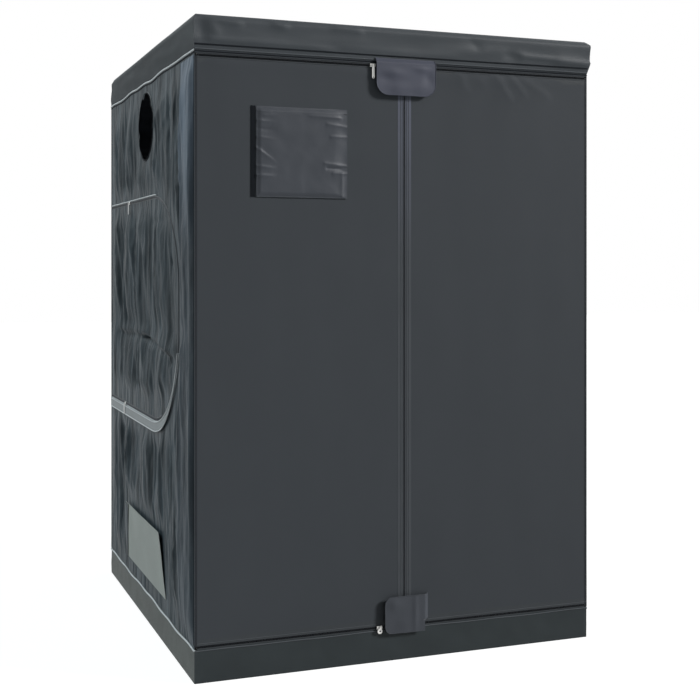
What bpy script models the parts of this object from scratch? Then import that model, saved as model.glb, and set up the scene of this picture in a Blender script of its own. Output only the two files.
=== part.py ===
"""Indoor grow tent: a black fabric cabinet, on a tube frame, with zipped doors.

Metres, +Z up. The origin is the centre of the base. The double door faces -Y,
and the side door, the duct port and the vent are in the wall at -X.

Most fabric is modelled in the coordinates of its own wall, seen from outside:
u runs to the right, v runs up from the floor and w points out of the wall.
"""

import math

import bmesh
import bpy
from mathutils import Matrix, Vector

# Overall size of the fabric box and its cloth
TENT_WIDTH = 1.22
TENT_DEPTH = 1.22
TENT_HEIGHT = 1.80
FABRIC = 0.0012
GAP = 0.0003
OVERRUN = 0.01
SHARP_ANGLE = math.radians(40)
WELD = 0.00001
HALF_WIDTH = TENT_WIDTH / 2
HALF_DEPTH = TENT_DEPTH / 2

# Roof cap and its turned-down band, fullest under its shoulder and at the front right
CAP_DROP = 0.100
CAP_PROUD = 0.006
CAP_LEFT_PROUD = 0.003
CAP_SIDE_PROUD = 0.010
CAP_FRONT_PROUD = 0.014
CAP_SHOULDER_SHARE = 0.14
CAP_FALL_SHARE = 0.75
CAP_CELLS = 8
CAP_ROWS = 5

# Waterproof floor tub
TUB_RISE = 0.092

# Frame tubes
POLE_OUTER = 0.019
POLE_WALL = 0.001
SPLICE_LENGTH = 0.040
SPLICE_CLEARANCE = 0.0004
SPLICE_HEIGHT = 0.92
TUBE_STEPS = 14

# Corner connectors
HUB = 0.030
HUB_BEVEL = 0.012
SOCKET_REACH = 0.060
SOCKET_STOP = 0.012
SOCKET_WALL = 0.0025
SOCKET_CLEARANCE = 0.0003

# Hanging bars and the saddles that hook over the side rails
BAR_OUTER = 0.016
BAR_SPACING = 0.40
SADDLE_THICKNESS = 0.002
SADDLE_WIDTH = 0.010
SADDLE_LEG = 0.012
SADDLE_ARC_POINTS = 8

# Zips: woven tape, coil and the line where the two halves meet
ZIP_TAPE = 0.014
ZIP_COIL = 0.003
ZIP_COIL_RISE = 0.002
ZIP_HINGE_STOP = 0.006
CENTRE_ZIP_X = 0.007
HEADER_ZIP_DROP = 0.0102
SILL_ZIP_RISE = 0.0058

# Zip sliders and their bridges
SLIDER_LENGTH = 0.016
SLIDER_CLEARANCE = 0.0005
SLIDER_WALL = 0.0012
SLIDER_PLATE = 0.0015
SLIDER_FLOAT = 0.0004
BRIDGE_SPAN = 0.009
BRIDGE_BAR = 0.0014
BRIDGE_INNER = 0.0024

# Zip pulls
PULL_LENGTH = 0.038
PULL_WIDTH = 0.0075
PULL_THICKNESS = 0.0013
PULL_NECK = 0.0034
PULL_HOLE = 0.0032
EYE_WALL = 0.0009
EYE_WIDTH = 0.0030
EYE_CLEARANCE = 0.00035
RING_OUTER = 0.0150
RING_HOLE = 0.0050
RING_REACH = 0.0125
ARC_POINTS = 5

# Places of the sliders when every zip is closed
CENTRE_SLIDER_DROP = 0.0275
TOP_LEFT_SLIDER_X = -0.0925
TOP_RIGHT_SLIDER_X = 0.056
BOTTOM_LEFT_SLIDER_X = -0.072
BOTTOM_RIGHT_SLIDER_X = 0.044
SIDE_TOP_SLIDER_DEPTH = 0.868
SIDE_BOTTOM_SLIDER_DEPTH = 0.940

# Window in the left leaf, its clear film and its cover
WINDOW_LEFT_X = -0.437
WINDOW_RIGHT_X = -0.170
WINDOW_DROP = 0.240
WINDOW_HEIGHT = 0.249
WINDOW_COVER_LAP = 0.020
WINDOW_FILM_LAP = 0.010
WINDOW_COVER_CORNER = 0.006
FILM = 0.0010

# Cover over the upper zip crossing
TOP_FLAP_LEFT_X = -0.084
TOP_FLAP_RIGHT_X = 0.100
TOP_FLAP_HINGE_DROP = 0.088
TOP_FLAP_DROP = 0.105
TOP_FLAP_CORNER = 0.035
FLAP_STAND = 0.0115
FLAP_BEND = 0.014

# Cover over the lower zip crossing
BOTTOM_FLAP_HINGE_X = 0.080
BOTTOM_FLAP_LOW = 0.080
BOTTOM_FLAP_HIGH = 0.183
BOTTOM_FLAP_REACH = 0.138
BOTTOM_FLAP_CORNER = 0.022

# Side door in the left wall, measured back from the front of the tent
SIDE_DOOR_FRONT = 0.175
SIDE_DOOR_HINGE_INSET = 0.015
SIDE_DOOR_BELOW_PORT = 0.120
SIDE_DOOR_BOTTOM = 0.652
SIDE_CORNER_LENGTH = 0.330
SIDE_CORNER_HEIGHT_SHARE = 0.41
SIDE_TAPE = 0.005
SIDE_ARC_POINTS = 8

# Duct port and its inward sleeve
PORT_DEPTH = 0.620
PORT_DROP = 0.235
PORT_RADIUS = 0.110
SLEEVE_LENGTH = 0.130
SLEEVE_END_RADIUS = 0.098
SLEEVE_RIM = 0.004
SLEEVE_STEPS = 24

# Vent with its net and its cover
VENT_FRONT_LOW = 0.334
VENT_BACK_LOW = 0.946
VENT_FRONT_HIGH = 0.392
VENT_BACK_HIGH = 0.894
VENT_LOW = 0.137
VENT_HIGH = 0.324
VENT_COVER_LAP = 0.022
VENT_NET_LAP = 0.010
VENT_NET_STRAND = 0.006
VENT_COVER_LEAN = math.radians(3.0)
NET_COLUMNS = 12
NET_ROWS = 3

# Folds of the hanging walls
FOLD_DEPTH = 0.0075
PLAIN_FOLD_DEPTH = 0.004
PLAIN_WAVES = 4
PLAIN_RIPPLES = 7
FOLD_FADE = 0.110
SEAM_CALM = 0.020
TRIM_FADE = 0.045
VENT_CALM = 0.060
LEFT_COLUMNS = 24
LEFT_ROWS = 22
PLAIN_COLUMNS = 16
PLAIN_ROWS = 8

# Vertical folds of the left wall, as shares of its depth from the front
FOLD_PLACE_SHARES = (0.10, 0.24, 0.34, 0.43, 0.53, 0.63, 0.72, 0.81, 0.90)
FOLD_HEIGHT_SHARES = (0.7, -0.5, 0.8, -0.9, 1.0, -0.8, 0.9, -1.0, 0.7)
FOLD_WIDTH_SHARE = 0.040
FOLD_LEAN_SHARE = 0.030
CREASE_HEIGHT_SHARE = 0.52
CREASE_WIDTH_SHARE = 0.022
CREASE_DEPTH_SHARE = 0.8

# Derived places
WALL_LOW = TUB_RISE + GAP
WALL_HIGH = TENT_HEIGHT - CAP_DROP - GAP
HUB_INSET = FABRIC + GAP + HUB / 2
POST_X = HALF_WIDTH - HUB_INSET
POST_Y = HALF_DEPTH - HUB_INSET
LOW_HUB_Z = HUB_INSET
HIGH_HUB_Z = TENT_HEIGHT - HUB_INSET
DOOR_HINGE_X = HALF_WIDTH - FABRIC - GAP
HEADER_ZIP_Z = WALL_HIGH - HEADER_ZIP_DROP
CENTRE_SLIDER_Z = HEADER_ZIP_Z - CENTRE_SLIDER_DROP
SILL_ZIP_Z = WALL_LOW + SILL_ZIP_RISE
SIDE_DOOR_HINGE = TENT_DEPTH - SIDE_DOOR_HINGE_INSET
TOP_FLAP_HINGE_Z = TENT_HEIGHT - TOP_FLAP_HINGE_DROP
WINDOW_TOP = TENT_HEIGHT - WINDOW_DROP
WINDOW_BOTTOM = WINDOW_TOP - WINDOW_HEIGHT
PORT_HEIGHT = TENT_HEIGHT - PORT_DROP
SIDE_DOOR_TOP = PORT_HEIGHT - PORT_RADIUS - SIDE_DOOR_BELOW_PORT
SIDE_CORNER_HEIGHT = (SIDE_DOOR_TOP - SIDE_DOOR_BOTTOM) * SIDE_CORNER_HEIGHT_SHARE
CHANNEL_HALF = ZIP_COIL + SLIDER_CLEARANCE
CHANNEL_HIGH = ZIP_COIL_RISE + SLIDER_CLEARANCE
PLATE_TOP = CHANNEL_HIGH + SLIDER_PLATE
BAR_AXIS = PLATE_TOP + BRIDGE_INNER + BRIDGE_BAR / 2
SWING_PULL_AXIS = PLATE_TOP + BRIDGE_INNER / 2

# Finishes: colour, roughness, metallic
CANVAS = ((0.050, 0.056, 0.061), 0.62, 0.0)
FLAP_CANVAS = ((0.072, 0.076, 0.092), 0.60, 0.0)
TARPAULIN = ((0.055, 0.060, 0.066), 0.55, 0.0)
ZIP_TAPE_CLOTH = ((0.085, 0.088, 0.104), 0.60, 0.0)
CLEAR_FILM = ((0.35, 0.45, 0.38), 0.15, 0.0)
PALE_CANVAS = ((0.190, 0.209, 0.202), 0.60, 0.0)
NET_CLOTH = ((0.030, 0.032, 0.034), 0.70, 0.0)
COATED_STEEL = ((0.62, 0.63, 0.62), 0.35, 0.0)
BLACK_PLASTIC = ((0.020, 0.020, 0.022), 0.45, 0.0)
ZIP_METAL = ((0.70, 0.70, 0.68), 0.30, 1.0)

WALL_TURNS = {"front": 0, "right": 90, "rear": 180, "left": 270}
WALL_REACH = {"front": HALF_DEPTH, "right": HALF_WIDTH, "rear": HALF_DEPTH, "left": HALF_WIDTH}


def clear_scene():
    """Remove whatever the file opened with."""
    for obj in list(bpy.data.objects):
        bpy.data.objects.remove(obj, do_unlink=True)


def new_collection(name):
    """A collection linked to the scene."""
    collection = bpy.data.collections.new(name)
    bpy.context.scene.collection.children.link(collection)
    return collection


clear_scene()
PARTS = new_collection("grow_tent")
CUTTERS = new_collection("cutters")


def finish(obj, look):
    """Give an object its own Principled material."""
    colour, roughness, metallic = look
    material = bpy.data.materials.new(obj.name)
    material.use_nodes = True
    shader = material.node_tree.nodes["Principled BSDF"]
    shader.inputs["Base Color"].default_value = (*colour, 1.0)
    shader.inputs["Roughness"].default_value = roughness
    shader.inputs["Metallic"].default_value = metallic
    obj.data.materials.clear()
    obj.data.materials.append(material)


def add_part(name, mesh, look):
    """A sub-part with its own material."""
    mesh.name = name
    obj = bpy.data.objects.new(name, mesh)
    PARTS.objects.link(obj)
    finish(obj, look)
    return obj


def add_cutter(name, mesh):
    """A helper shape that cuts or joins a sub-part and isn't one itself."""
    obj = bpy.data.objects.new(name, mesh)
    CUTTERS.objects.link(obj)
    obj.hide_render = True
    obj.display_type = "WIRE"
    return obj


def boolean(obj, tool, operation):
    """Cut an object with another, or join the other to it."""
    modifier = obj.modifiers.new(tool.name, "BOOLEAN")
    modifier.object = tool
    modifier.operation = operation
    modifier.solver = "EXACT"


def evaluated_mesh(obj):
    """The mesh that an object's modifiers or curve settings give."""
    bpy.context.view_layer.update()
    depsgraph = bpy.context.evaluated_depsgraph_get()
    return bpy.data.meshes.new_from_object(obj.evaluated_get(depsgraph))


def welded(mesh):
    """The same mesh with its loose caps joined on and its faces pointing out."""
    work = bmesh.new()
    work.from_mesh(mesh)
    bmesh.ops.remove_doubles(work, verts=work.verts, dist=WELD)
    bmesh.ops.recalc_face_normals(work, faces=work.faces)
    work.to_mesh(mesh)
    work.free()
    return mesh


def mesh_of(make):
    """The mesh of a bmesh that the function make fills."""
    work = bmesh.new()
    make(work)
    mesh = bpy.data.meshes.new("mesh")
    work.to_mesh(mesh)
    work.free()
    return mesh


def combined(base, tools):
    """One mesh from a base mesh and (mesh, operation) pairs, all in one frame."""
    obj = add_cutter("base", base)
    helpers = [(add_cutter("tool", mesh), operation) for mesh, operation in tools]
    for helper, operation in helpers:
        boolean(obj, helper, operation)
    mesh = evaluated_mesh(obj)
    bpy.data.objects.remove(obj, do_unlink=True)
    for helper, _ in helpers:
        bpy.data.objects.remove(helper, do_unlink=True)
    return mesh


def moved(mesh, matrix):
    """The same mesh after a move or a turn."""
    mesh.transform(matrix)
    return mesh


def outline_mesh(outlines, low, high):
    """Flat outlines in u and v, the later ones holes, as a solid from w low to w high."""
    curve = bpy.data.curves.new("outline", "CURVE")
    curve.dimensions = "2D"
    curve.fill_mode = "BOTH"
    curve.extrude = (high - low) / 2
    for points in outlines:
        spline = curve.splines.new("POLY")
        spline.points.add(len(points) - 1)
        spline.use_cyclic_u = True
        for point, (u, v) in zip(spline.points, points):
            point.co = (u, v, 0, 1)
    obj = add_cutter("outline", curve)
    mesh = welded(evaluated_mesh(obj))
    bpy.data.objects.remove(obj, do_unlink=True)
    bpy.data.curves.remove(curve)
    return moved(mesh, Matrix.Translation((0, 0, (low + high) / 2)))


def box_mesh(low, high):
    """A box between two corners."""
    size = Vector(high) - Vector(low)
    middle = (Vector(high) + Vector(low)) / 2

    def make(work):
        bmesh.ops.create_cube(work, size=1)
        bmesh.ops.scale(work, vec=size, verts=work.verts)
        bmesh.ops.translate(work, vec=middle, verts=work.verts)

    return mesh_of(make)


def rod_mesh(radius, low, high, steps=TUBE_STEPS):
    """A solid cylinder along local Z, from low to high."""

    def make(work):
        bmesh.ops.create_cone(
            work, cap_ends=True, segments=steps, radius1=radius, radius2=radius, depth=high - low
        )
        bmesh.ops.translate(work, vec=(0, 0, (low + high) / 2), verts=work.verts)

    return mesh_of(make)


def turned_mesh(profile, steps):
    """A closed profile of (radius, height) points, top to bottom outside, spun about Z."""
    mesh = bpy.data.meshes.new("profile")
    count = len(profile)
    edges = [(i, (i + 1) % count) for i in range(count)]
    mesh.from_pydata([(radius, 0, height) for radius, height in profile], edges, [])
    obj = add_cutter("turned", mesh)
    screw = obj.modifiers.new("Screw", "SCREW")
    screw.steps = steps
    screw.render_steps = steps
    screw.use_merge_vertices = True
    screw.merge_threshold = WELD
    result = evaluated_mesh(obj)
    bpy.data.objects.remove(obj, do_unlink=True)
    return result


def thickened(mesh, thickness, offset):
    """An open sheet with a thickness: offset -1 grows inward and 1 outward."""
    obj = add_cutter("sheet", mesh)
    solidify = obj.modifiers.new("Solidify", "SOLIDIFY")
    solidify.thickness = thickness
    solidify.offset = offset
    result = evaluated_mesh(obj)
    bpy.data.objects.remove(obj, do_unlink=True)
    return result


def wall_frame(side):
    """The matrix from a wall's u, v, w to the tent's X, Y, Z."""
    turn = Matrix.Rotation(math.radians(WALL_TURNS[side]), 4, "Z")
    reach = Matrix.Translation((0, -WALL_REACH[side], 0))
    return turn @ reach @ Matrix.Rotation(math.radians(90), 4, "X")


def on_wall(name, mesh, look, side, pivot=(0, 0, 0)):
    """Add a part made in a wall's u, v, w, with its origin on the pivot."""
    moved(mesh, Matrix.Translation(-Vector(pivot)))
    obj = add_part(name, mesh, look)
    obj.matrix_world = wall_frame(side) @ Matrix.Translation(pivot)
    return obj


def parent_to(child, carrier):
    """Parent a part without moving it."""
    bpy.context.view_layer.update()
    child.parent = carrier
    child.matrix_parent_inverse = carrier.matrix_world.inverted()


def smooth_round(obj):
    """Shade a round piece smooth between its sharp edges."""
    obj.data.shade_smooth()
    obj.data.set_sharp_from_angle(angle=SHARP_ANGLE)


def rectangle(left, right, low, high):
    """The corners of a rectangle, anticlockwise."""
    return [(left, low), (right, low), (right, high), (left, high)]


def circle(radius, count, centre=(0, 0)):
    """Points round a circle."""
    turns = [math.tau * i / count for i in range(count)]
    return [(centre[0] + radius * math.cos(t), centre[1] + radius * math.sin(t)) for t in turns]


def depth_u(depth):
    """u on the left wall of a place measured back from the tent's front."""
    return HALF_DEPTH - depth


def smooth_share(share):
    """0 to 1, eased at both ends."""
    share = min(max(share, 0.0), 1.0)
    return share * share * (3 - 2 * share)


def distance_to_path(point, path):
    """The shortest distance from a point to a path of straight runs."""
    best = math.inf
    for start, end in zip(path, path[1:]):
        a = Vector(start)
        run = Vector(end) - a
        share = min(max((point - a).dot(run) / run.length_squared, 0), 1)
        best = min(best, (point - a - share * run).length)
    return best


def side_door_outline(inset, hinge_gap=0):
    """The side door's D shape from its hinge's top to its hinge's bottom, drawn in by inset.

    Its two ends stop short of the hinge line by hinge_gap.
    """
    hinge = depth_u(SIDE_DOOR_HINGE) + hinge_gap
    centre = depth_u(SIDE_DOOR_FRONT) - SIDE_CORNER_LENGTH
    points = [(hinge, SIDE_DOOR_TOP - inset)]
    for middle, start in (
        (SIDE_DOOR_TOP - SIDE_CORNER_HEIGHT, math.pi / 2),
        (SIDE_DOOR_BOTTOM + SIDE_CORNER_HEIGHT, 0),
    ):
        for i in range(SIDE_ARC_POINTS + 1):
            turn = start - math.pi / 2 * i / SIDE_ARC_POINTS
            u = centre + (SIDE_CORNER_LENGTH - inset) * math.cos(turn)
            v = middle + (SIDE_CORNER_HEIGHT - inset) * math.sin(turn)
            points.append((u, v))
    points.append((hinge, SIDE_DOOR_BOTTOM + inset))
    return points


def vent_outline(inset):
    """The vent cover's tapered outline, drawn in by inset."""
    return [
        (depth_u(VENT_BACK_LOW) + inset, VENT_LOW + inset),
        (depth_u(VENT_FRONT_LOW) - inset, VENT_LOW + inset),
        (depth_u(VENT_FRONT_HIGH) - inset, VENT_HIGH - inset),
        (depth_u(VENT_BACK_HIGH) + inset, VENT_HIGH - inset),
    ]


def edge_fade(u, v, half):
    """0 along a wall's seams and 1 in its field, so that folds die out towards the seams."""
    return (
        smooth_share((half - abs(u) - SEAM_CALM) / FOLD_FADE)
        * smooth_share((v - WALL_LOW - SEAM_CALM) / FOLD_FADE)
        * smooth_share((WALL_HIGH - v - SEAM_CALM) / FOLD_FADE)
    )


def left_fold(u, v):
    """How far the left wall's cloth stands out of its plane."""
    depth_share = (HALF_DEPTH - u) / TENT_DEPTH
    height_share = v / TENT_HEIGHT
    out = 0.0
    for place, height in zip(FOLD_PLACE_SHARES, FOLD_HEIGHT_SHARES):
        drift = FOLD_LEAN_SHARE * math.sin(math.tau * (height_share + place))
        away = (depth_share - place - drift) / FOLD_WIDTH_SHARE
        out += height * math.exp(-away * away)
    crease = (height_share - CREASE_HEIGHT_SHARE) / CREASE_WIDTH_SHARE
    out -= CREASE_DEPTH_SHARE * math.exp(-crease * crease)
    point = Vector((u, v))
    port = (point - Vector((depth_u(PORT_DEPTH), PORT_HEIGHT))).length - PORT_RADIUS
    vent = distance_to_path(point, vent_outline(0) + vent_outline(0)[:1])
    inside_vent = VENT_LOW < v < VENT_HIGH and VENT_FRONT_LOW < HALF_DEPTH - u < VENT_BACK_LOW
    zip_line = distance_to_path(point, side_door_outline(0))
    fade = smooth_share((port - SLEEVE_RIM) / TRIM_FADE)
    fade *= 0.0 if inside_vent else smooth_share((vent - VENT_CALM) / TRIM_FADE)
    fade *= smooth_share((zip_line - 2 * SIDE_TAPE) / TRIM_FADE)
    return FOLD_DEPTH * out * fade * edge_fade(u, v, HALF_DEPTH)


def plain_fold(u, v):
    """The shallow folds of a wall with nothing in it."""
    share = u / TENT_WIDTH
    waves = math.sin(math.tau * PLAIN_WAVES * share + v / TENT_HEIGHT)
    waves += math.sin(math.tau * PLAIN_RIPPLES * share)
    return PLAIN_FOLD_DEPTH / 2 * waves * edge_fade(u, v, HALF_WIDTH)


def folded_sheet(half, columns, rows, fold, cuts=()):
    """A hanging wall: a flat grid with a thickness, cut to its outlines, then bent into folds."""

    def make(work):
        bmesh.ops.create_grid(work, x_segments=columns, y_segments=rows, size=1)
        for vertex in work.verts:
            v = WALL_LOW + (vertex.co.y + 1) / 2 * (WALL_HIGH - WALL_LOW)
            vertex.co = (vertex.co.x * half, v, 0)

    tools = [(outline_mesh([outline], -OVERRUN, OVERRUN), how) for outline, how in cuts]
    mesh = combined(thickened(mesh_of(make), FABRIC, -1), tools)
    for vertex in mesh.vertices:
        vertex.co.z += fold(vertex.co.x, vertex.co.y)
    return mesh


def ribbon(outline, near, far, low, high):
    """The band between an outline drawn in by near and by far, from w low to w high."""
    return outline_mesh([outline(near) + outline(far)[::-1]], low, high)


def zip_half(outline, tape):
    """Half a zip along an outline: a woven tape with its coil along the meeting edge."""
    tape_mesh = ribbon(outline, ZIP_COIL / 2, tape, -FABRIC, 0)
    coil = ribbon(outline, 0, ZIP_COIL, -FABRIC / 2, ZIP_COIL_RISE)
    return combined(tape_mesh, [(coil, "UNION")])


def connector_mesh():
    """A corner connector with sockets along +X, +Y and +Z, its hub centred on the origin."""
    bore = POLE_OUTER / 2 + SOCKET_CLEARANCE
    hub = add_cutter("hub", box_mesh([-HUB / 2] * 3, [HUB / 2] * 3))
    bevel = hub.modifiers.new("Bevel", "BEVEL")
    bevel.width = HUB_BEVEL
    bevel.segments = 2
    base = evaluated_mesh(hub)
    bpy.data.objects.remove(hub, do_unlink=True)
    turns = (
        Matrix.Identity(4),
        Matrix.Rotation(math.radians(90), 4, "Y"),
        Matrix.Rotation(math.radians(-90), 4, "X"),
    )
    sockets = [moved(rod_mesh(bore + SOCKET_WALL, 0, SOCKET_REACH), turn) for turn in turns]
    bores = [moved(rod_mesh(bore, SOCKET_STOP, SOCKET_REACH + OVERRUN), turn) for turn in turns]
    joins = [(mesh, "UNION") for mesh in sockets]
    return combined(base, joins + [(mesh, "DIFFERENCE") for mesh in bores])


def connectors():
    """The eight corner connectors, each the same moulding turned into its corner."""
    mesh = connector_mesh()
    corners = (("front_left", 0), ("front_right", 90), ("rear_right", 180), ("rear_left", 270))
    upside_down = Matrix.Rotation(math.radians(180), 4, "X")
    for level, hub_z in (("bottom", LOW_HUB_Z), ("top", HIGH_HUB_Z)):
        for corner, turn in corners:
            obj = add_part(f"connector_{level}_{corner}", mesh.copy(), BLACK_PLASTIC)
            x = POST_X if "right" in corner else -POST_X
            y = POST_Y if "rear" in corner else -POST_Y
            spin = Matrix.Rotation(math.radians(turn), 4, "Z")
            if level == "top":
                spin = spin @ Matrix.Rotation(math.radians(90), 4, "Z") @ upside_down
            obj.matrix_world = Matrix.Translation((x, y, hub_z)) @ spin
            smooth_round(obj)


def tube_mesh(outer, wall, length):
    """A plain round tube along Z from the origin."""
    inner = outer / 2 - wall
    return turned_mesh([(outer / 2, length), (outer / 2, 0), (inner, 0), (inner, length)], TUBE_STEPS)


def lower_post_mesh(length):
    """A post's lower half: a tube with a reduced end that plugs into the upper half."""
    outer = POLE_OUTER / 2
    inner = outer - POLE_WALL
    plug = inner - SPLICE_CLEARANCE
    bore = plug - POLE_WALL
    top = length + SPLICE_LENGTH
    profile = [
        (plug, top),
        (plug, length),
        (outer, length),
        (outer, 0),
        (inner, 0),
        (inner, length - SPLICE_LENGTH / 4),
        (bore, length),
        (bore, top),
    ]
    return turned_mesh(profile, TUBE_STEPS)


def posts():
    """Four corner posts, each in two halves that plug together."""
    start = LOW_HUB_Z + SOCKET_STOP + GAP
    end = HIGH_HUB_Z - SOCKET_STOP - GAP
    lower = lower_post_mesh(SPLICE_HEIGHT - start)
    upper = tube_mesh(POLE_OUTER, POLE_WALL, end - SPLICE_HEIGHT - GAP)
    for depth, y in (("front", -POST_Y), ("rear", POST_Y)):
        for side, x in (("left", -POST_X), ("right", POST_X)):
            low = add_part(f"post_lower_{depth}_{side}", lower.copy(), COATED_STEEL)
            low.location = (x, y, start)
            high = add_part(f"post_upper_{depth}_{side}", upper.copy(), COATED_STEEL)
            high.location = (x, y, SPLICE_HEIGHT + GAP)
            smooth_round(low)
            smooth_round(high)


def rails():
    """Eight rails between the corner connectors."""
    inset = SOCKET_STOP + GAP
    across = tube_mesh(POLE_OUTER, POLE_WALL, 2 * (POST_X - inset))
    along = tube_mesh(POLE_OUTER, POLE_WALL, 2 * (POST_Y - inset))
    for level, z in (("bottom", LOW_HUB_Z), ("top", HIGH_HUB_Z)):
        for depth, y in (("front", -POST_Y), ("rear", POST_Y)):
            rail = add_part(f"{level}_rail_{depth}", across.copy(), COATED_STEEL)
            rail.location = (-POST_X + inset, y, z)
            rail.rotation_euler = (0, math.radians(90), 0)
            smooth_round(rail)
        for side, x in (("left", -POST_X), ("right", POST_X)):
            rail = add_part(f"{level}_rail_{side}", along.copy(), COATED_STEEL)
            rail.location = (x, -POST_Y + inset, z)
            rail.rotation_euler = (math.radians(-90), 0, 0)
            smooth_round(rail)


def saddle_outline(centre):
    """A strap over a rail, seen along the rail, with its rail at the given centre."""
    inner = POLE_OUTER / 2 + GAP
    outer = inner + SADDLE_THICKNESS
    turns = [math.pi * i / SADDLE_ARC_POINTS for i in range(SADDLE_ARC_POINTS + 1)]
    outside = [(centre + outer * math.cos(t), outer * math.sin(t)) for t in turns]
    inside = [(centre + inner * math.cos(t), inner * math.sin(t)) for t in reversed(turns)]
    legs_out = [(centre - outer, -SADDLE_LEG), (centre - inner, -SADDLE_LEG)]
    legs_in = [(centre + inner, -SADDLE_LEG), (centre + outer, -SADDLE_LEG)]
    return outside + legs_out + inside + legs_in


def hanging_bars():
    """Two loose cross bars, their saddles hooked over the side top rails."""
    reach = POST_X - POLE_OUTER / 2 - GAP - SADDLE_THICKNESS / 2
    upright = Matrix.Rotation(math.radians(90), 4, "X")
    for name, y in (("hanging_bar_front", -BAR_SPACING / 2), ("hanging_bar_rear", BAR_SPACING / 2)):
        tube = tube_mesh(BAR_OUTER, POLE_WALL, 2 * reach)
        tube.transform(Matrix.Translation((-reach, 0, 0)) @ Matrix.Rotation(math.radians(90), 4, "Y"))
        straps = [
            moved(outline_mesh([saddle_outline(x)], -SADDLE_WIDTH / 2, SADDLE_WIDTH / 2), upright)
            for x in (-POST_X, POST_X)
        ]
        bar = add_part(name, combined(tube, [(strap, "UNION") for strap in straps]), COATED_STEEL)
        bar.location = (0, y, HIGH_HUB_Z)
        smooth_round(bar)


def cap_swell(x, y, share):
    """How far the cap's band stands out at a place on the tent's rim, and down the band."""
    shoulder = smooth_share(min(share / CAP_SHOULDER_SHARE, 1))
    profile = shoulder * max(1 - share, 0) ** CAP_FALL_SHARE
    toward_right = (x / HALF_WIDTH + 1) / 2
    toward_front = (1 - y / HALF_DEPTH) / 2
    front = CAP_PROUD + (CAP_FRONT_PROUD - CAP_PROUD) * toward_right**2
    right = CAP_PROUD + (CAP_SIDE_PROUD - CAP_PROUD) * toward_front**2
    middle = 4 * toward_front * (1 - toward_front)
    left = CAP_LEFT_PROUD + (CAP_SIDE_PROUD - CAP_LEFT_PROUD) * middle
    out_y = -front if y < 0 else front
    out_x = right if x > 0 else -left
    on_side = HALF_WIDTH - abs(x) < GAP
    on_end = HALF_DEPTH - abs(y) < GAP
    return Vector((out_x * on_side, out_y * on_end, 0)) * profile


def roof_cap():
    """The roof and the band that turns down from it all round."""

    def make(work):
        bmesh.ops.create_grid(work, x_segments=CAP_CELLS, y_segments=CAP_CELLS, size=1)
        for vertex in work.verts:
            vertex.co = (vertex.co.x * HALF_WIDTH, vertex.co.y * HALF_DEPTH, TENT_HEIGHT)
        rim = [edge for edge in work.edges if edge.is_boundary]
        for row in range(1, CAP_ROWS + 1):
            made = bmesh.ops.extrude_edge_only(work, edges=rim)["geom"]
            rim = [item for item in made if isinstance(item, bmesh.types.BMEdge)]
            for vertex in [item for item in made if isinstance(item, bmesh.types.BMVert)]:
                vertex.co.z = TENT_HEIGHT - CAP_DROP * row / CAP_ROWS
        for vertex in work.verts:
            share = (TENT_HEIGHT - vertex.co.z) / CAP_DROP
            vertex.co += cap_swell(vertex.co.x, vertex.co.y, share)
        bmesh.ops.recalc_face_normals(work, faces=work.faces)

    add_part("roof_cap", thickened(mesh_of(make), FABRIC, -1), CANVAS)


def floor_tub():
    """The waterproof floor with its turned-up sides."""

    def make(work):
        bmesh.ops.create_cube(work, size=1)
        bmesh.ops.scale(work, vec=(TENT_WIDTH, TENT_DEPTH, TUB_RISE), verts=work.verts)
        bmesh.ops.translate(work, vec=(0, 0, TUB_RISE / 2), verts=work.verts)
        lid = [face for face in work.faces if face.normal.z > 0.5]
        bmesh.ops.delete(work, geom=lid, context="FACES_ONLY")

    add_part("floor_tub", thickened(mesh_of(make), FABRIC, -1), TARPAULIN)


def left_wall():
    """The wall with the duct port, the side door's opening and the vent."""
    opening = side_door_outline(-SIDE_TAPE - GAP)
    port = circle(PORT_RADIUS, SLEEVE_STEPS, (depth_u(PORT_DEPTH), PORT_HEIGHT))
    cuts = [(cut, "DIFFERENCE") for cut in (opening, port, vent_outline(VENT_COVER_LAP))]
    mesh = folded_sheet(HALF_DEPTH, LEFT_COLUMNS, LEFT_ROWS, left_fold, cuts)
    on_wall("wall_left", mesh, CANVAS, "left")


def side_door():
    """The D-shaped side door, hinged along the tent's rear left edge, with its zip."""
    cuts = [(side_door_outline(SIDE_TAPE + GAP, GAP), "INTERSECT")]
    mesh = folded_sheet(HALF_DEPTH, LEFT_COLUMNS, LEFT_ROWS, left_fold, cuts)
    pivot = (depth_u(SIDE_DOOR_HINGE), 0, 0)
    door = on_wall("side_door", mesh, CANVAS, "left", pivot)

    def line(inset):
        return side_door_outline(inset, ZIP_HINGE_STOP)

    tape = ribbon(line, -SIDE_TAPE, SIDE_TAPE, -FABRIC, 0)
    coil = ribbon(line, -ZIP_COIL, ZIP_COIL, -FABRIC / 2, ZIP_COIL_RISE)
    band = combined(tape, [(coil, "UNION")])
    parent_to(on_wall("side_door_zip", band, ZIP_TAPE_CLOTH, "left", pivot), door)


def plain_walls():
    """The right and rear walls, which have nothing in them."""
    on_wall(
        "wall_right",
        folded_sheet(HALF_DEPTH, PLAIN_COLUMNS, PLAIN_ROWS, plain_fold),
        CANVAS,
        "right",
    )
    half = HALF_WIDTH - FABRIC - GAP
    on_wall("wall_back", folded_sheet(half, PLAIN_COLUMNS, PLAIN_ROWS, plain_fold), CANVAS, "rear")


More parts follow.
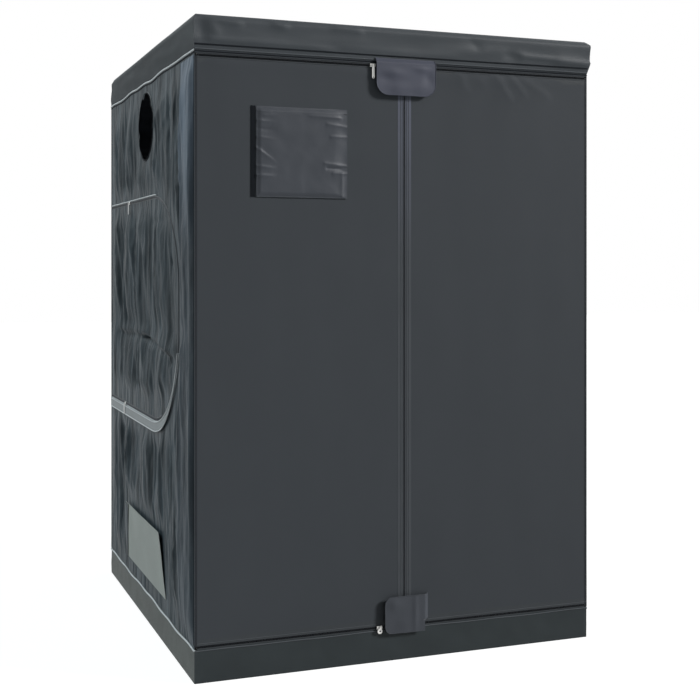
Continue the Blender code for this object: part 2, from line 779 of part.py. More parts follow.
def duct_sleeve():
    """The duct port's sleeve, pushed in through the wall, with a thick hem round its mouth."""
    outer = PORT_RADIUS - GAP
    end = SLEEVE_END_RADIUS
    profile = [
        (outer, FABRIC),
        (outer, -SLEEVE_LENGTH / 3),
        (end, -SLEEVE_LENGTH),
        (end - FABRIC, -SLEEVE_LENGTH),
        (outer - FABRIC, -SLEEVE_LENGTH / 3),
        (outer - FABRIC, -2 * SLEEVE_RIM),
        (outer - SLEEVE_RIM, -SLEEVE_RIM),
        (outer - SLEEVE_RIM, FABRIC),
    ]
    centre = (depth_u(PORT_DEPTH), PORT_HEIGHT, 0)
    mesh = moved(turned_mesh(profile, SLEEVE_STEPS), Matrix.Translation(centre))
    smooth_round(on_wall("duct_sleeve", mesh, CANVAS, "left", centre))


def vent():
    """The vent's net behind its opening, and the cover hinged along its lower edge."""
    outline = vent_outline(VENT_COVER_LAP - VENT_NET_LAP)
    (low_left, low), (low_right, _), (high_right, high), (high_left, _) = outline
    holes = []
    for row in range(NET_ROWS):
        for column in range(NET_COLUMNS):
            corners = []
            for across, up in ((0, 0), (1, 0), (1, 1), (0, 1)):
                row_share = (row + up) / NET_ROWS
                left = low_left + (high_left - low_left) * row_share
                right = low_right + (high_right - low_right) * row_share
                inset = VENT_NET_STRAND / 2
                u = left + (right - left) * (column + across) / NET_COLUMNS
                v = low + (high - low) * row_share
                corners.append((u + inset * (1 - 2 * across), v + inset * (1 - 2 * up)))
            holes.append(corners)
    back = -FABRIC - GAP
    on_wall("vent_mesh", outline_mesh([outline] + holes, back - FABRIC, back), NET_CLOTH, "left")

    pivot = (0, VENT_LOW, GAP + FABRIC)
    mesh = moved(outline_mesh([vent_outline(0)], 0, FABRIC), Matrix.Translation((0, -VENT_LOW, 0)))
    moved(mesh, Matrix.Rotation(VENT_COVER_LEAN, 4, "X"))
    moved(mesh, Matrix.Translation((0, VENT_LOW, GAP)))
    on_wall("vent_flap", mesh, PALE_CANVAS, "left", pivot)


def leaf_outline(sign, inset):
    """A front leaf's three zipped edges, drawn in by inset: sign -1 left, 1 right."""
    stop = sign * (DOOR_HINGE_X - ZIP_HINGE_STOP)
    meeting = CENTRE_ZIP_X + sign * (GAP / 2 + inset)
    high = HEADER_ZIP_Z - GAP / 2 - inset
    low = SILL_ZIP_Z + GAP / 2 + inset
    return [(stop, high), (meeting, high), (meeting, low), (stop, low)]


def front_leaf(name, sign, holes):
    """One leaf of the front door, hinged at the tent's corner, and its half of the zips."""
    reach = ZIP_TAPE + GAP
    hinge = sign * DOOR_HINGE_X
    meeting = CENTRE_ZIP_X + sign * (GAP / 2 + reach)
    high = HEADER_ZIP_Z - GAP / 2 - reach
    low = SILL_ZIP_Z + GAP / 2 + reach
    sides = sorted((hinge, meeting))
    pivot = (hinge, 0, 0)
    mesh = outline_mesh([rectangle(*sides, low, high)] + holes, -FABRIC, 0)
    leaf = on_wall(name, mesh, CANVAS, "front", pivot)
    half = zip_half(lambda inset: leaf_outline(sign, inset), ZIP_TAPE)
    parent_to(on_wall(f"{name}_zip", half, ZIP_TAPE_CLOTH, "front", pivot), leaf)
    return leaf


def window_rectangle(lap):
    """The window's opening, or a piece that laps it on every side."""
    inset = WINDOW_COVER_LAP - lap
    return rectangle(
        WINDOW_LEFT_X + inset,
        WINDOW_RIGHT_X - inset,
        WINDOW_BOTTOM + inset,
        WINDOW_TOP - inset,
    )


def window(leaf):
    """The window's film behind the leaf, and its cover hinged along the top in front."""
    back = -FABRIC - GAP
    film = outline_mesh([window_rectangle(WINDOW_FILM_LAP)], back - FILM, back)
    pivot = (-DOOR_HINGE_X, 0, 0)
    parent_to(on_wall("window_film", film, CLEAR_FILM, "front", pivot), leaf)
    middle = (WINDOW_LEFT_X + WINDOW_RIGHT_X) / 2
    width = WINDOW_RIGHT_X - WINDOW_LEFT_X
    drop = WINDOW_TOP - WINDOW_BOTTOM
    cover = flap_mesh(width, drop, WINDOW_COVER_CORNER, FABRIC, width)
    moved(cover, Matrix.Translation((middle, WINDOW_TOP, GAP)))
    pivot = (middle, WINDOW_TOP, GAP + FABRIC)
    parent_to(on_wall("window_flap", cover, CANVAS, "front", pivot), leaf)


def flap_mesh(width, drop, corner, stand, sewn):
    """A flap hanging from the origin, rounded at its free corners and standing off its wall.

    It is sewn along its top from its left end to sewn. Past that it is cut back and hangs clear.
    """
    rows = [0, FLAP_BEND / 2, FLAP_BEND, (FLAP_BEND + drop - corner) / 2]
    arc = [math.pi / 2 * i / ARC_POINTS for i in range(ARC_POINTS + 1)]
    rows += [drop - corner + corner * math.sin(turn) for turn in arc]

    def make(work):
        bmesh.ops.create_grid(work, x_segments=ARC_POINTS, y_segments=len(rows) - 1, size=1)
        for vertex in work.verts:
            below = rows[round((1 - vertex.co.y) / 2 * (len(rows) - 1))]
            share = max(below - drop + corner, 0) / corner
            half = width / 2 - corner * (1 - math.sqrt(max(1 - share * share, 0)))
            lift = stand * smooth_share(below / FLAP_BEND)
            if vertex.co.x * width / 2 > sewn:
                below = FLAP_BEND + below * (drop - FLAP_BEND) / drop
                lift = stand
            vertex.co = (vertex.co.x * half, -below, lift)

    return thickened(mesh_of(make), FABRIC, 1)


def zip_covers(right_leaf):
    """The two covers over the places where the zips cross."""
    width = TOP_FLAP_RIGHT_X - TOP_FLAP_LEFT_X
    middle = (TOP_FLAP_RIGHT_X + TOP_FLAP_LEFT_X) / 2
    share = (TENT_HEIGHT - TOP_FLAP_HINGE_Z) / CAP_DROP
    seat = cap_swell(TOP_FLAP_RIGHT_X, -HALF_DEPTH, share).length + GAP
    mesh = flap_mesh(width, TOP_FLAP_DROP, TOP_FLAP_CORNER, FLAP_STAND - seat, width)
    moved(mesh, Matrix.Translation((middle, TOP_FLAP_HINGE_Z, seat)))
    pivot = (middle, TOP_FLAP_HINGE_Z, seat + FABRIC)
    on_wall("top_flap", mesh, FLAP_CANVAS, "front", pivot)

    height = BOTTOM_FLAP_HIGH - BOTTOM_FLAP_LOW
    centre = (BOTTOM_FLAP_HIGH + BOTTOM_FLAP_LOW) / 2
    sewn = centre - SILL_ZIP_Z - ZIP_TAPE
    mesh = flap_mesh(height, BOTTOM_FLAP_REACH, BOTTOM_FLAP_CORNER, FLAP_STAND, sewn)
    moved(mesh, Matrix.Rotation(math.radians(-90), 4, "Z"))
    moved(mesh, Matrix.Translation((BOTTOM_FLAP_HINGE_X, centre, GAP)))
    pivot = (BOTTOM_FLAP_HINGE_X, centre, GAP + FABRIC)
    parent_to(on_wall("bottom_flap", mesh, CANVAS, "front", pivot), right_leaf)


def fixed_zips():
    """The zip halves sewn to the header above the doors and to the tub below them."""
    stop = DOOR_HINGE_X - ZIP_HINGE_STOP

    def header(inset):
        line = HEADER_ZIP_Z + GAP / 2 + inset
        return [(-stop, line), (stop, line)]

    def sill(inset):
        line = SILL_ZIP_Z - GAP / 2 - inset
        return [(-stop, line), (stop, line)]

    top = zip_half(header, WALL_HIGH - HEADER_ZIP_Z - GAP / 2)
    on_wall("header_zip", top, ZIP_TAPE_CLOTH, "front")
    bottom = zip_half(sill, SILL_ZIP_Z - GAP / 2 - WALL_LOW)
    on_wall("sill_zip", bottom, ZIP_TAPE_CLOTH, "front")


def slider_mesh():
    """A zip slider along X over the coil, open below, with a bridge for the pull on top."""
    inner = CHANNEL_HALF
    outer = inner + SLIDER_WALL
    channel = [
        (-outer, SLIDER_FLOAT),
        (-inner, SLIDER_FLOAT),
        (-inner, CHANNEL_HIGH),
        (inner, CHANNEL_HIGH),
        (inner, SLIDER_FLOAT),
        (outer, SLIDER_FLOAT),
        (outer, PLATE_TOP),
        (-outer, PLATE_TOP),
    ]
    body = outline_mesh([channel], -SLIDER_LENGTH / 2, SLIDER_LENGTH / 2)
    body.transform(Matrix(((0, 0, 1, 0), (1, 0, 0, 0), (0, 1, 0, 0), (0, 0, 0, 1))))
    reach = BRIDGE_SPAN / 2
    root = PLATE_TOP - SLIDER_PLATE / 2
    under = PLATE_TOP + BRIDGE_INNER
    arch = [
        (-reach, root),
        (-reach + BRIDGE_BAR, root),
        (-reach + BRIDGE_BAR, under),
        (reach - BRIDGE_BAR, under),
        (reach - BRIDGE_BAR, root),
        (reach, root),
        (reach, under + BRIDGE_BAR),
        (-reach, under + BRIDGE_BAR),
    ]
    bridge = outline_mesh([arch], -BRIDGE_BAR / 2, BRIDGE_BAR / 2)
    bridge.transform(Matrix.Rotation(math.radians(90), 4, "X"))
    return combined(body, [(bridge, "UNION")])


def tab_outline(start):
    """A pull's tab: a neck that widens to a round end, hanging from start below the pivot."""
    half = PULL_WIDTH / 2
    neck = PULL_NECK / 2
    end = PULL_LENGTH - half
    arc = [math.pi * i / ARC_POINTS for i in range(ARC_POINTS + 1)]
    round_end = [(half * math.cos(t), -end - half * math.sin(t)) for t in arc]
    shoulder = start + PULL_WIDTH
    return [(-neck, -start), (neck, -start), (half, -shoulder)] + round_end + [(-half, -shoulder)]


def flip_pull_mesh(ring):
    """A pull whose eye goes round the bridge's bar, so that it lifts away from the cloth."""
    bore = BRIDGE_BAR / 2 * math.sqrt(2) + EYE_CLEARANCE
    outer = bore + EYE_WALL
    half = EYE_WIDTH / 2
    eye = outline_mesh([circle(outer, 2 * ARC_POINTS), circle(bore, 2 * ARC_POINTS)], -half, half)
    eye.transform(Matrix.Rotation(math.radians(90), 4, "Y"))
    start = bore + EYE_WALL / 3
    thick = PULL_THICKNESS / 2
    if ring:
        centre = (0, -start - RING_OUTER / 2 + EYE_WALL / 3)
        outlines = [circle(RING_OUTER / 2, 3 * ARC_POINTS, centre)]
        outlines.append(circle(RING_HOLE / 2, 2 * ARC_POINTS, centre))
    else:
        hole = circle(PULL_HOLE / 2, 2 * ARC_POINTS, (0, -PULL_LENGTH + PULL_WIDTH / 2))
        outlines = [tab_outline(start), hole]
    return combined(eye, [(outline_mesh(outlines, -thick, thick), "UNION")])


def swing_pull_mesh(ring):
    """A flat pull hooked round one leg of the bridge, so that it swings along the cloth."""
    bore = BRIDGE_BAR / 2 * math.sqrt(2) + 2 * EYE_CLEARANCE
    half = PULL_THICKNESS / 2
    neck = bore + EYE_WALL
    arc = [math.pi * i / ARC_POINTS for i in range(ARC_POINTS + 1)]
    top = [(neck * math.cos(t), neck * math.sin(t)) for t in reversed(arc)]
    eye = circle(bore, 2 * ARC_POINTS)
    if not ring:
        hole = circle(PULL_HOLE / 2, 2 * ARC_POINTS, (0, -PULL_LENGTH + PULL_WIDTH / 2))
        return outline_mesh([top + tab_outline(0)[2:], eye, hole], -half, half)
    centre = (0, -RING_REACH)
    foot = RING_REACH - (RING_OUTER + RING_HOLE) / 4
    stem = outline_mesh([top + [(neck, -foot), (-neck, -foot)], eye], -half, half)
    disc = [circle(RING_OUTER / 2, 3 * ARC_POINTS, centre)]
    disc.append(circle(RING_HOLE / 2, 2 * ARC_POINTS, centre))
    return combined(stem, [(outline_mesh(disc, -half, half), "UNION")])


def zip_slider(name, side, place, upright, flips, ring, carrier):
    """One slider with its pull, on the zip at the given (u, v)."""
    centre = Vector((*place, 0))
    mesh = slider_mesh()
    leg = BRIDGE_SPAN / 2 - BRIDGE_BAR / 2
    hook = Vector((leg, 0, SWING_PULL_AXIS))
    if upright:
        turn = Matrix.Rotation(math.radians(-90), 4, "Z")
        mesh.transform(turn)
        hook = turn @ hook
    moved(mesh, Matrix.Translation(centre))
    slider = on_wall(f"{name}_slider", mesh, ZIP_METAL, side, centre)
    if carrier:
        parent_to(slider, carrier)
    if flips:
        pull = flip_pull_mesh(ring)
        pivot = centre + Vector((0, 0, BAR_AXIS))
    else:
        pull = swing_pull_mesh(ring)
        pivot = centre + hook
    moved(pull, Matrix.Translation(pivot))
    parent_to(on_wall(f"{name}_pull", pull, ZIP_METAL, side, pivot), slider)


def zip_sliders(left_leaf):
    """The seven sliders, each where its zip is closed."""
    top = HEADER_ZIP_Z
    low = SILL_ZIP_Z
    side_top = (depth_u(SIDE_TOP_SLIDER_DEPTH), SIDE_DOOR_TOP)
    side_low = (depth_u(SIDE_BOTTOM_SLIDER_DEPTH), SIDE_DOOR_BOTTOM)
    zip_slider("centre", "front", (CENTRE_ZIP_X, CENTRE_SLIDER_Z), True, False, False, left_leaf)
    zip_slider("top_left", "front", (TOP_LEFT_SLIDER_X, top), False, True, False, None)
    zip_slider("top_right", "front", (TOP_RIGHT_SLIDER_X, top), False, False, False, None)
    zip_slider("bottom_left", "front", (BOTTOM_LEFT_SLIDER_X, low), False, True, True, None)
    zip_slider("bottom_right", "front", (BOTTOM_RIGHT_SLIDER_X, low), False, False, True, None)
    zip_slider("side_top", "left", side_top, False, True, False, None)
    zip_slider("side_bottom", "left", side_low, False, True, False, None)


def grow_tent():
    """Build the whole tent."""
    connectors()
    posts()
    rails()
    hanging_bars()
    floor_tub()
    roof_cap()
    left_wall()
    plain_walls()
    side_door()
    duct_sleeve()
    vent()
    fixed_zips()
    left_leaf = front_leaf("door_left", -1, [window_rectangle(0)])
    right_leaf = front_leaf("door_right", 1, [])
    window(left_leaf)
    zip_covers(right_leaf)
    zip_sliders(left_leaf)


grow_tent()
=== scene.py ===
"""The grow tent's looks: cloth with folds, seams and zips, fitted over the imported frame.

Metres, +Z up, in the frame's own coordinates. Cloth is laid out in its wall's own
coordinates, seen from outside: u runs right, v runs up from the floor and w points out.
"""
import math

import bpy
import numpy as np
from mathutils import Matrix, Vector
from mathutils.geometry import delaunay_2d_cdt


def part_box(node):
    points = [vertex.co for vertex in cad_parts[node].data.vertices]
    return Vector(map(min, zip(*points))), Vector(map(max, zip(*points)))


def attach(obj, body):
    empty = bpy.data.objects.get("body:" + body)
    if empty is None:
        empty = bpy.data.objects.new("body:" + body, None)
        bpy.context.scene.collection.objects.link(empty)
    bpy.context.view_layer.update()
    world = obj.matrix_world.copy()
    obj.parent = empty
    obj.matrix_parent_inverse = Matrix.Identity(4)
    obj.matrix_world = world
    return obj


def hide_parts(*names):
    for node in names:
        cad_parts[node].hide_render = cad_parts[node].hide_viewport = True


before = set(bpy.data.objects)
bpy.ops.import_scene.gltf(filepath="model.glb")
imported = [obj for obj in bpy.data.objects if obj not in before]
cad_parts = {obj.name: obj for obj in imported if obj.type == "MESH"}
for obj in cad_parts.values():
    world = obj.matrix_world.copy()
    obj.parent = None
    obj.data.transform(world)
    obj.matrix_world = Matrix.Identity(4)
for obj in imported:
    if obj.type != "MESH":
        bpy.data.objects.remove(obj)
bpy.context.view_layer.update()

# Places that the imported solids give
TUB_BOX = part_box("floor_tub")
WALL_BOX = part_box("wall_left")
CAP_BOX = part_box("roof_cap")
HALF_WIDTH = TUB_BOX[1].x
HALF_DEPTH = TUB_BOX[1].y
TENT_WIDTH = 2 * HALF_WIDTH
TENT_DEPTH = 2 * HALF_DEPTH
TENT_HEIGHT = CAP_BOX[1].z
TUB_RISE = TUB_BOX[1].z
WALL_LOW = WALL_BOX[0].z
WALL_HIGH = WALL_BOX[1].z
CAP_DROP = TENT_HEIGHT - CAP_BOX[0].z

SIDES = ("front", "right", "rear", "left")
LEAVES = (("door_left", -1), ("door_right", 1))
WELD = 0.000001
SHARP_ANGLE = math.radians(60)
SIDE_FACING = math.cos(math.radians(45))
CLOTH_MAP = "cloth"

# Noise: numbers that scramble a cell's place, the gain and a seed for each pattern
ACROSS_FACTOR = 374761393
UP_FACTOR = 668265263
SEED_FACTOR = 974634777
MIX_FACTOR = 1274126177
MIX_SHIFT = 13
LAST_SHIFT = 16
LOW_BITS = 0xFFFF
NOISE_GAIN = 1.5
STREAK_SEED = 3
PLEAT_SEED = 4
CRUMPLE_SEED = 5
ROLL_SEED = 6
PLAIN_SEED = 7
LEAF_SEED = 11
LEAF_RIPPLE_SEED = 12
CAP_SEED = 21
CAP_RIPPLE_SEED = 22
ROOF_SEED = 23
EDGE_SEED = 24
TUB_SEED = 31
TUB_RIPPLE_SEED = 32
FLAP_SEED = 41
COVER_SEED = 42
SLEEVE_SEED = 51
LIP_SEED = 58
VENT_SEED = 61
TUB_SEAM_SEED = 71
CAP_SEAM_SEED = 72

# Cloth and how finely it is laid out
CLOTH = 0.0009
FABRIC = 0.0012
GAP = 0.0003
CELL = 0.010
WALL_CELL = 0.008
LEAF_CELL = 0.012
FLAP_CELL = 0.0025
NET_CELL = 0.007
NET_STRAND = 0.0018
EDGE_CLEAR_SHARE = 0.45
ROUND_STEPS = 3

# Roof cap and tub; the cap's band swells most just under its shoulder and at the front right
CAP_PROUD = 0.006
CAP_LEFT_PROUD = 0.003
CAP_SIDE_PROUD = 0.010
CAP_FRONT_PROUD = 0.014
CAP_SHOULDER_SHARE = 0.14
CAP_FALL = 0.75
CAP_ROUND = 0.004
CAP_CORNER = 0.016
CAP_CORNER_REACH = 0.070
CAP_CELLS = 110
CAP_ROWS = 14
CAP_FOLD_DEPTH = 0.0022
CAP_WAVE = 0.300
CAP_WAVE_ROWS = 2
CAP_RIPPLE = 0.110
CAP_RIPPLE_ROWS = 3
CAP_STITCH_SHARE = 0.81
CAP_HEM_SHARE = 0.935
CAP_STITCH = 0.0022
ROOF_WAVE = 0.350
ROOF_SAG = 0.004
EDGE_WAVER = 0.0012
TUB_ROUND = 0.0015
TUB_CELLS = 110
TUB_ROWS = 10
TUB_FOLD_DEPTH = 0.0015
TUB_WAVE = 0.130
TUB_RIPPLE = 0.040
TUB_RIPPLE_ROWS = 2
RIPPLE_SHARE = 0.5

# Zips
ZIP_TAPE = 0.014
ZIP_HEM = 0.0065
ZIP_COIL = 0.003
ZIP_COIL_RISE = 0.002
COIL_PITCH = 0.0024
COIL_ACROSS_SHARES = (0.0, 0.12, 0.45, 0.8, 1.0)
COIL_HEIGHT_SHARES = (0.0, 0.75, 1.0, 0.7, 0.0)
COIL_GROOVE_SHARE = 0.62
CENTRE_ZIP_X = 0.007
HEADER_ZIP_DROP = 0.0102
SILL_ZIP_RISE = 0.0058
HINGE_INSET = 0.0015
ZIP_STOP = 0.006
TAPE_PROUD = 0.0002
# How far the painted strips stand out, the height at which the painted sheen of the centre tape
# and the corner strip is full, and the drop over which it fades in
PAINTED_STRIP_PROUD = 0.00035
SHEEN_TOP = 1.60
SHEEN_FADE = 0.45
RIB = 0.0010
RIB_REACHES = (0.0068, 0.0125)
HEADER_ZIP_Z = WALL_HIGH - HEADER_ZIP_DROP
SILL_ZIP_Z = WALL_LOW + SILL_ZIP_RISE

# Side door, measured back from the front of the tent
SIDE_DOOR_FRONT = 0.175
SIDE_DOOR_HINGE = 1.205
SIDE_DOOR_TOP = 1.335
SIDE_DOOR_BOTTOM = 0.652
SIDE_CORNER_LENGTH = 0.330
SIDE_CORNER_HEIGHT = 0.280
SIDE_TAPE = 0.005
SIDE_ARC_POINTS = 24
TOP_RUN_SHARE = 0.278
GUARD_START_SHARE = 0.545
GUARD_GROWTH_SHARE = 0.16
GUARD_WIDTH = 0.028
GUARD_PROUD = 0.0055

# Lighter, bluer strip beside the front corner, a painted sheen on the left wall, its edges
# measured back from the front
CORNER_SHEEN_START = 0.006
CORNER_SHEEN_END = 0.150
CORNER_SHEEN_PROUD = 0.0012

# Duct port and vent
PORT_DEPTH = 0.620
PORT_HEIGHT = 1.565
PORT_RADIUS = 0.110
PORT_STEPS = 96
SLEEVE_RIM = 0.004
LIP_DENT = 0.022
LIP_WAVES = 2.2
# Where the painted glint round the port's mouth starts and ends
GLINT_START = math.radians(15)
GLINT_END = math.radians(80)
SLEEVE_LENGTH = 0.130
SLEEVE_END_RADIUS = 0.098
SLEEVE_ROWS = 26
SLEEVE_TAPER_SHARE = 1 / 3
SLEEVE_GATHER = 0.006
SLEEVE_PLEATS = 17
SLEEVE_DRIFT = 2
SLEEVE_DRIFT_ROWS = 3
MOUTH_GATHER_SHARE = 0.5
VENT_FRONT_LOW = 0.334
VENT_BACK_LOW = 0.946
VENT_FRONT_HIGH = 0.392
VENT_BACK_HIGH = 0.894
VENT_LOW = 0.137
VENT_HIGH = 0.324
VENT_COVER_LAP = 0.022
VENT_NET_LAP = 0.010
VENT_COVER_LEAN = math.radians(3.0)
VENT_HEM = 0.050
COVER_WAVE = 0.110
COVER_SLACK = 0.0012

# Window in the left leaf, and the covers over the zips
WINDOW_LEFT_X = -0.437
WINDOW_RIGHT_X = -0.170
WINDOW_TOP = 1.560
WINDOW_BOTTOM = 1.311
WINDOW_COVER_LAP = 0.020
WINDOW_FILM_LAP = 0.010
WINDOW_COVER_CORNER = 0.006
TOP_FLAP_LEFT_X = -0.084
TOP_FLAP_RIGHT_X = 0.100
TOP_FLAP_HINGE_Z = 1.712
TOP_FLAP_DROP = 0.105
TOP_FLAP_CORNER = 0.035
BOTTOM_FLAP_HINGE_X = 0.080
BOTTOM_FLAP_LOW = 0.080
BOTTOM_FLAP_HIGH = 0.183
BOTTOM_FLAP_REACH = 0.138
BOTTOM_FLAP_CORNER = 0.022
# Black strip of painted shadow left of the window cover: its far and near edges from the window's
# left edge
COVER_SHADOW = 0.015
COVER_SHADOW_GAP = 0.003
COVER_PILLOW = 0.0035
COVER_RUMPLE_SHARE = 0.25
COVER_SHOULDER = 0.014
COVER_RIGHT_SOFTNESS = 3
COVER_WRINKLE_REACH = 0.070
# How far that painted shadow strip stands out
COVER_SHADOW_PROUD = 0.0020
FLAP_STAND = 0.0115
FLAP_BEND = 0.014
FLAP_SLACK = 0.0012
FLAP_WAVE = 0.045
FLAP_DENT = 0.0022

# Piping and hems, and the painted shade line beside each front leaf's hinge
PIPING = 0.0018
HEM_CORD = 0.0009
HINGE_SHADE_WIDTH = 0.004
HEM_RIB_DROP = 0.0060
HEM_FADE = 0.0100
HINGE_LINE_INSET = 0.006
SIDE_PIPING = 0.0030
SEAM_WAVER = 0.0070
SEAM_WAVE = 0.160
FRONT_WAVER_SHARE = 0.3
TUB_PIPING_DROP = 0.004
CAP_PIPING_RISE = 0.004

# Main folds of the walls, as in the solids
FOLD_DEPTH = 0.0075
PLAIN_FOLD_DEPTH = 0.004
PLAIN_WAVES = 4
PLAIN_RIPPLES = 7
FOLD_FADE = 0.110
SEAM_CALM = 0.020
TRIM_FADE = 0.080
VENT_CALM = 0.025
FOLD_PLACE_SHARES = (0.10, 0.24, 0.34, 0.43, 0.53, 0.63, 0.72, 0.81, 0.90)
FOLD_HEIGHT_SHARES = (0.7, -0.5, 0.8, -0.9, 1.0, -0.8, 0.9, -1.0, 0.7)
FOLD_WIDTH_SHARE = 0.040
FOLD_LEAN_SHARE = 0.030
CREASE_HEIGHT_SHARE = 0.52
CREASE_WIDTH_SHARE = 0.022
CREASE_DEPTH_SHARE = 0.8

# Sharper creases: where each starts and ends, then its lift and its widths to either side,
# all in shares of the wall and of the fold depth
CREST_ROUND = 0.0015
CREASE_TAIL_SHARE = 0.18
LEFT_CREASE_SHARES = (
    (0.683, 0.695, 0.718, 0.549, 0.8, 0.082, 0.016),
    (0.488, 0.719, 0.509, 0.502, 1.0, 0.074, 0.016),
    (0.342, 0.691, 0.331, 0.567, 0.6, 0.049, 0.016),
    (0.039, 0.689, 0.153, 0.652, 0.5, 0.016, 0.016),
    (0.039, 0.643, 0.124, 0.597, 0.5, 0.016, 0.016),
    (0.024, 0.562, 0.117, 0.532, 0.35, 0.007, 0.007),
    (0.839, 0.503, 0.494, 0.505, 0.7, 0.030, 0.006),
    (0.494, 0.505, 0.216, 0.483, 0.7, 0.030, 0.006),
    (0.839, 0.496, 0.494, 0.498, -1.2, 0.006, 0.014),
    (0.494, 0.498, 0.216, 0.476, -1.2, 0.006, 0.014),
    (0.300, 0.492, 0.200, 0.470, 0.5, 0.012, 0.006),
    (0.270, 0.478, 0.180, 0.492, 0.5, 0.010, 0.006),
    (0.240, 0.466, 0.160, 0.474, -0.8, 0.008, 0.008),
    (0.422, 0.700, 0.287, 0.698, -0.5, 0.010, 0.010),
    (0.850, 0.683, 0.865, 0.546, -0.8, 0.025, 0.025),
    (0.944, 0.692, 0.976, 0.651, -0.4, 0.016, 0.016),
    (0.904, 0.457, 0.904, 0.378, -0.5, 0.020, 0.020),
    (0.790, 0.486, 0.790, 0.413, -0.5, 0.020, 0.020),
    (0.649, 0.476, 0.649, 0.403, -0.5, 0.020, 0.020),
    (0.458, 0.478, 0.458, 0.412, 0.6, 0.057, 0.016),
    (0.124, 0.924, 0.399, 0.805, -0.4, 0.025, 0.025),
    (0.213, 0.935, 0.458, 0.826, 0.4, 0.012, 0.025),
    (0.058, 0.777, 0.153, 0.748, 0.4, 0.012, 0.012),
    (0.287, 0.864, 0.458, 0.756, 0.4, 0.012, 0.025),
    (0.410, 0.300, 0.410, 0.197, 0.5, 0.020, 0.020),
    (0.173, 0.171, 0.173, 0.104, 0.6, 0.016, 0.016),
    (0.287, 0.354, 0.287, 0.263, -0.5, 0.020, 0.020),
    (0.583, 0.309, 0.583, 0.201, -0.5, 0.020, 0.020),
    (0.790, 0.309, 0.790, 0.184, -0.5, 0.020, 0.020),
    (0.244, 0.690, 0.213, 0.630, -0.5, 0.008, 0.008),
    (0.213, 0.630, 0.133, 0.571, -0.5, 0.008, 0.008),
    (0.076, 0.495, 0.030, 0.452, 0.4, 0.010, 0.010),
    (0.133, 0.485, 0.039, 0.504, 0.4, 0.010, 0.010),
)
FRONT_CREASE_SHARES = (
    (0.02, 0.927, 0.42, 0.927, 1.2, 0.005, 0.004),
    (0.60, 0.927, 0.98, 0.927, 1.2, 0.005, 0.004),
    (0.655, 0.932, 0.667, 0.908, 1.2, 0.020, 0.003),
    (0.751, 0.934, 0.786, 0.900, 1.5, 0.026, 0.003),
    (0.792, 0.932, 0.827, 0.906, 1.3, 0.020, 0.003),
    (0.827, 0.930, 0.889, 0.907, 1.2, 0.026, 0.003),
    (0.700, 0.930, 0.720, 0.915, 0.8, 0.014, 0.003),
    (0.150, 0.860, 0.190, 0.820, 0.8, 0.010, 0.010),
    (0.345, 0.840, 0.360, 0.800, 0.8, 0.010, 0.010),
)
WINDOW_CREASE_SHARES = (
    (0.00, 0.95, 0.15, 0.94, 0.5, 0.015, 0.008),
    (0.00, 0.84, 0.20, 0.83, 0.6, 0.020, 0.010),
    (0.00, 0.75, 0.20, 0.74, -0.6, 0.015, 0.015),
    (0.00, 0.66, 0.22, 0.64, 0.5, 0.020, 0.010),
    (0.00, 0.54, 0.22, 0.38, 0.8, 0.030, 0.008),
    (0.00, 0.34, 0.20, 0.32, 0.8, 0.015, 0.008),
    (0.00, 0.24, 0.24, 0.235, 1.0, 0.025, 0.008),
    (0.78, 0.83, 1.00, 0.80, 0.5, 0.025, 0.010),
    (0.82, 0.69, 1.00, 0.69, 0.5, 0.020, 0.008),
    (0.75, 0.39, 1.00, 0.36, 0.6, 0.020, 0.008),
    (0.78, 0.335, 1.00, 0.33, -0.9, 0.012, 0.012),
    (0.84, 0.28, 1.00, 0.28, 0.5, 0.015, 0.008),
    (0.94, 0.27, 0.94, 0.03, 0.45, 0.025, 0.016),
    (0.10, 0.90, 0.45, 0.92, 0.6, 0.012, 0.012),
    (0.60, 0.91, 0.90, 0.90, 0.6, 0.012, 0.012),
)
CAP_CREASE_SHARES = (
    (0.03, 0.36, 0.30, 0.28, 2.0, 0.010, 0.004),
    (0.36, 0.34, 0.62, 0.30, 0.8, 0.010, 0.004),
    (0.82, 0.44, 0.985, 0.34, 3.0, 0.016, 0.004),
    (0.78, 0.42, 0.90, 0.30, -1.6, 0.012, 0.012),
    (0.665, 0.95, 0.700, 0.55, -1.2, 0.010, 0.010),
    (0.04, 0.92, 0.10, 0.84, 4.0, 0.006, 0.004),
    (0.18, 0.90, 0.21, 0.82, 4.0, 0.006, 0.004),
    (0.33, 0.92, 0.39, 0.86, 4.0, 0.006, 0.004),
    (0.012, 0.94, 0.020, 0.30, -2.4, 0.006, 0.006),
    (0.030, 0.90, 0.050, 0.50, 1.6, 0.008, 0.008),
)

# Soft dents of the covers: the middle of each, then its lift, its width and its height
TOP_FLAP_DENT_SHARES = (
    (0.15, 0.45, -0.9, 0.12, 0.14),
    (0.30, 0.60, 1.0, 0.16, 0.12),
    (0.88, 0.48, -0.8, 0.08, 0.16),
    (0.78, 0.74, 0.9, 0.12, 0.10),
    (0.50, 0.20, 0.7, 0.30, 0.14),
)
BOTTOM_FLAP_DENT_SHARES = (
    (0.20, 0.80, 0.8, 0.12, 0.16),
    (0.68, 0.50, 0.8, 0.06, 0.60),
    (0.40, 0.30, 0.5, 0.14, 0.14),
)

# Rolls, streaks and crumples of the left wall, and slackness of the front leaves
ROLL_DEPTH = 0.020
ROLL_WIDTH = 0.085
ROLL_SHARE = 1.2
STREAK_WIDTH = 0.055
STREAK_LEAN = 0.400
STREAK_LENGTH = 0.380
STREAK_SHARE = 0.95
PLEAT_WIDTH = 0.022
PLEAT_SHARE = 0.30
CRUMPLE = 0.050
CRUMPLE_SHARE = 0.12
LEAF_WAVE = 0.300
LEAF_RIPPLE = 0.080
LEAF_RIPPLE_SHARE = 1 / 3
LEAF_FOLD_DEPTH = 0.0012
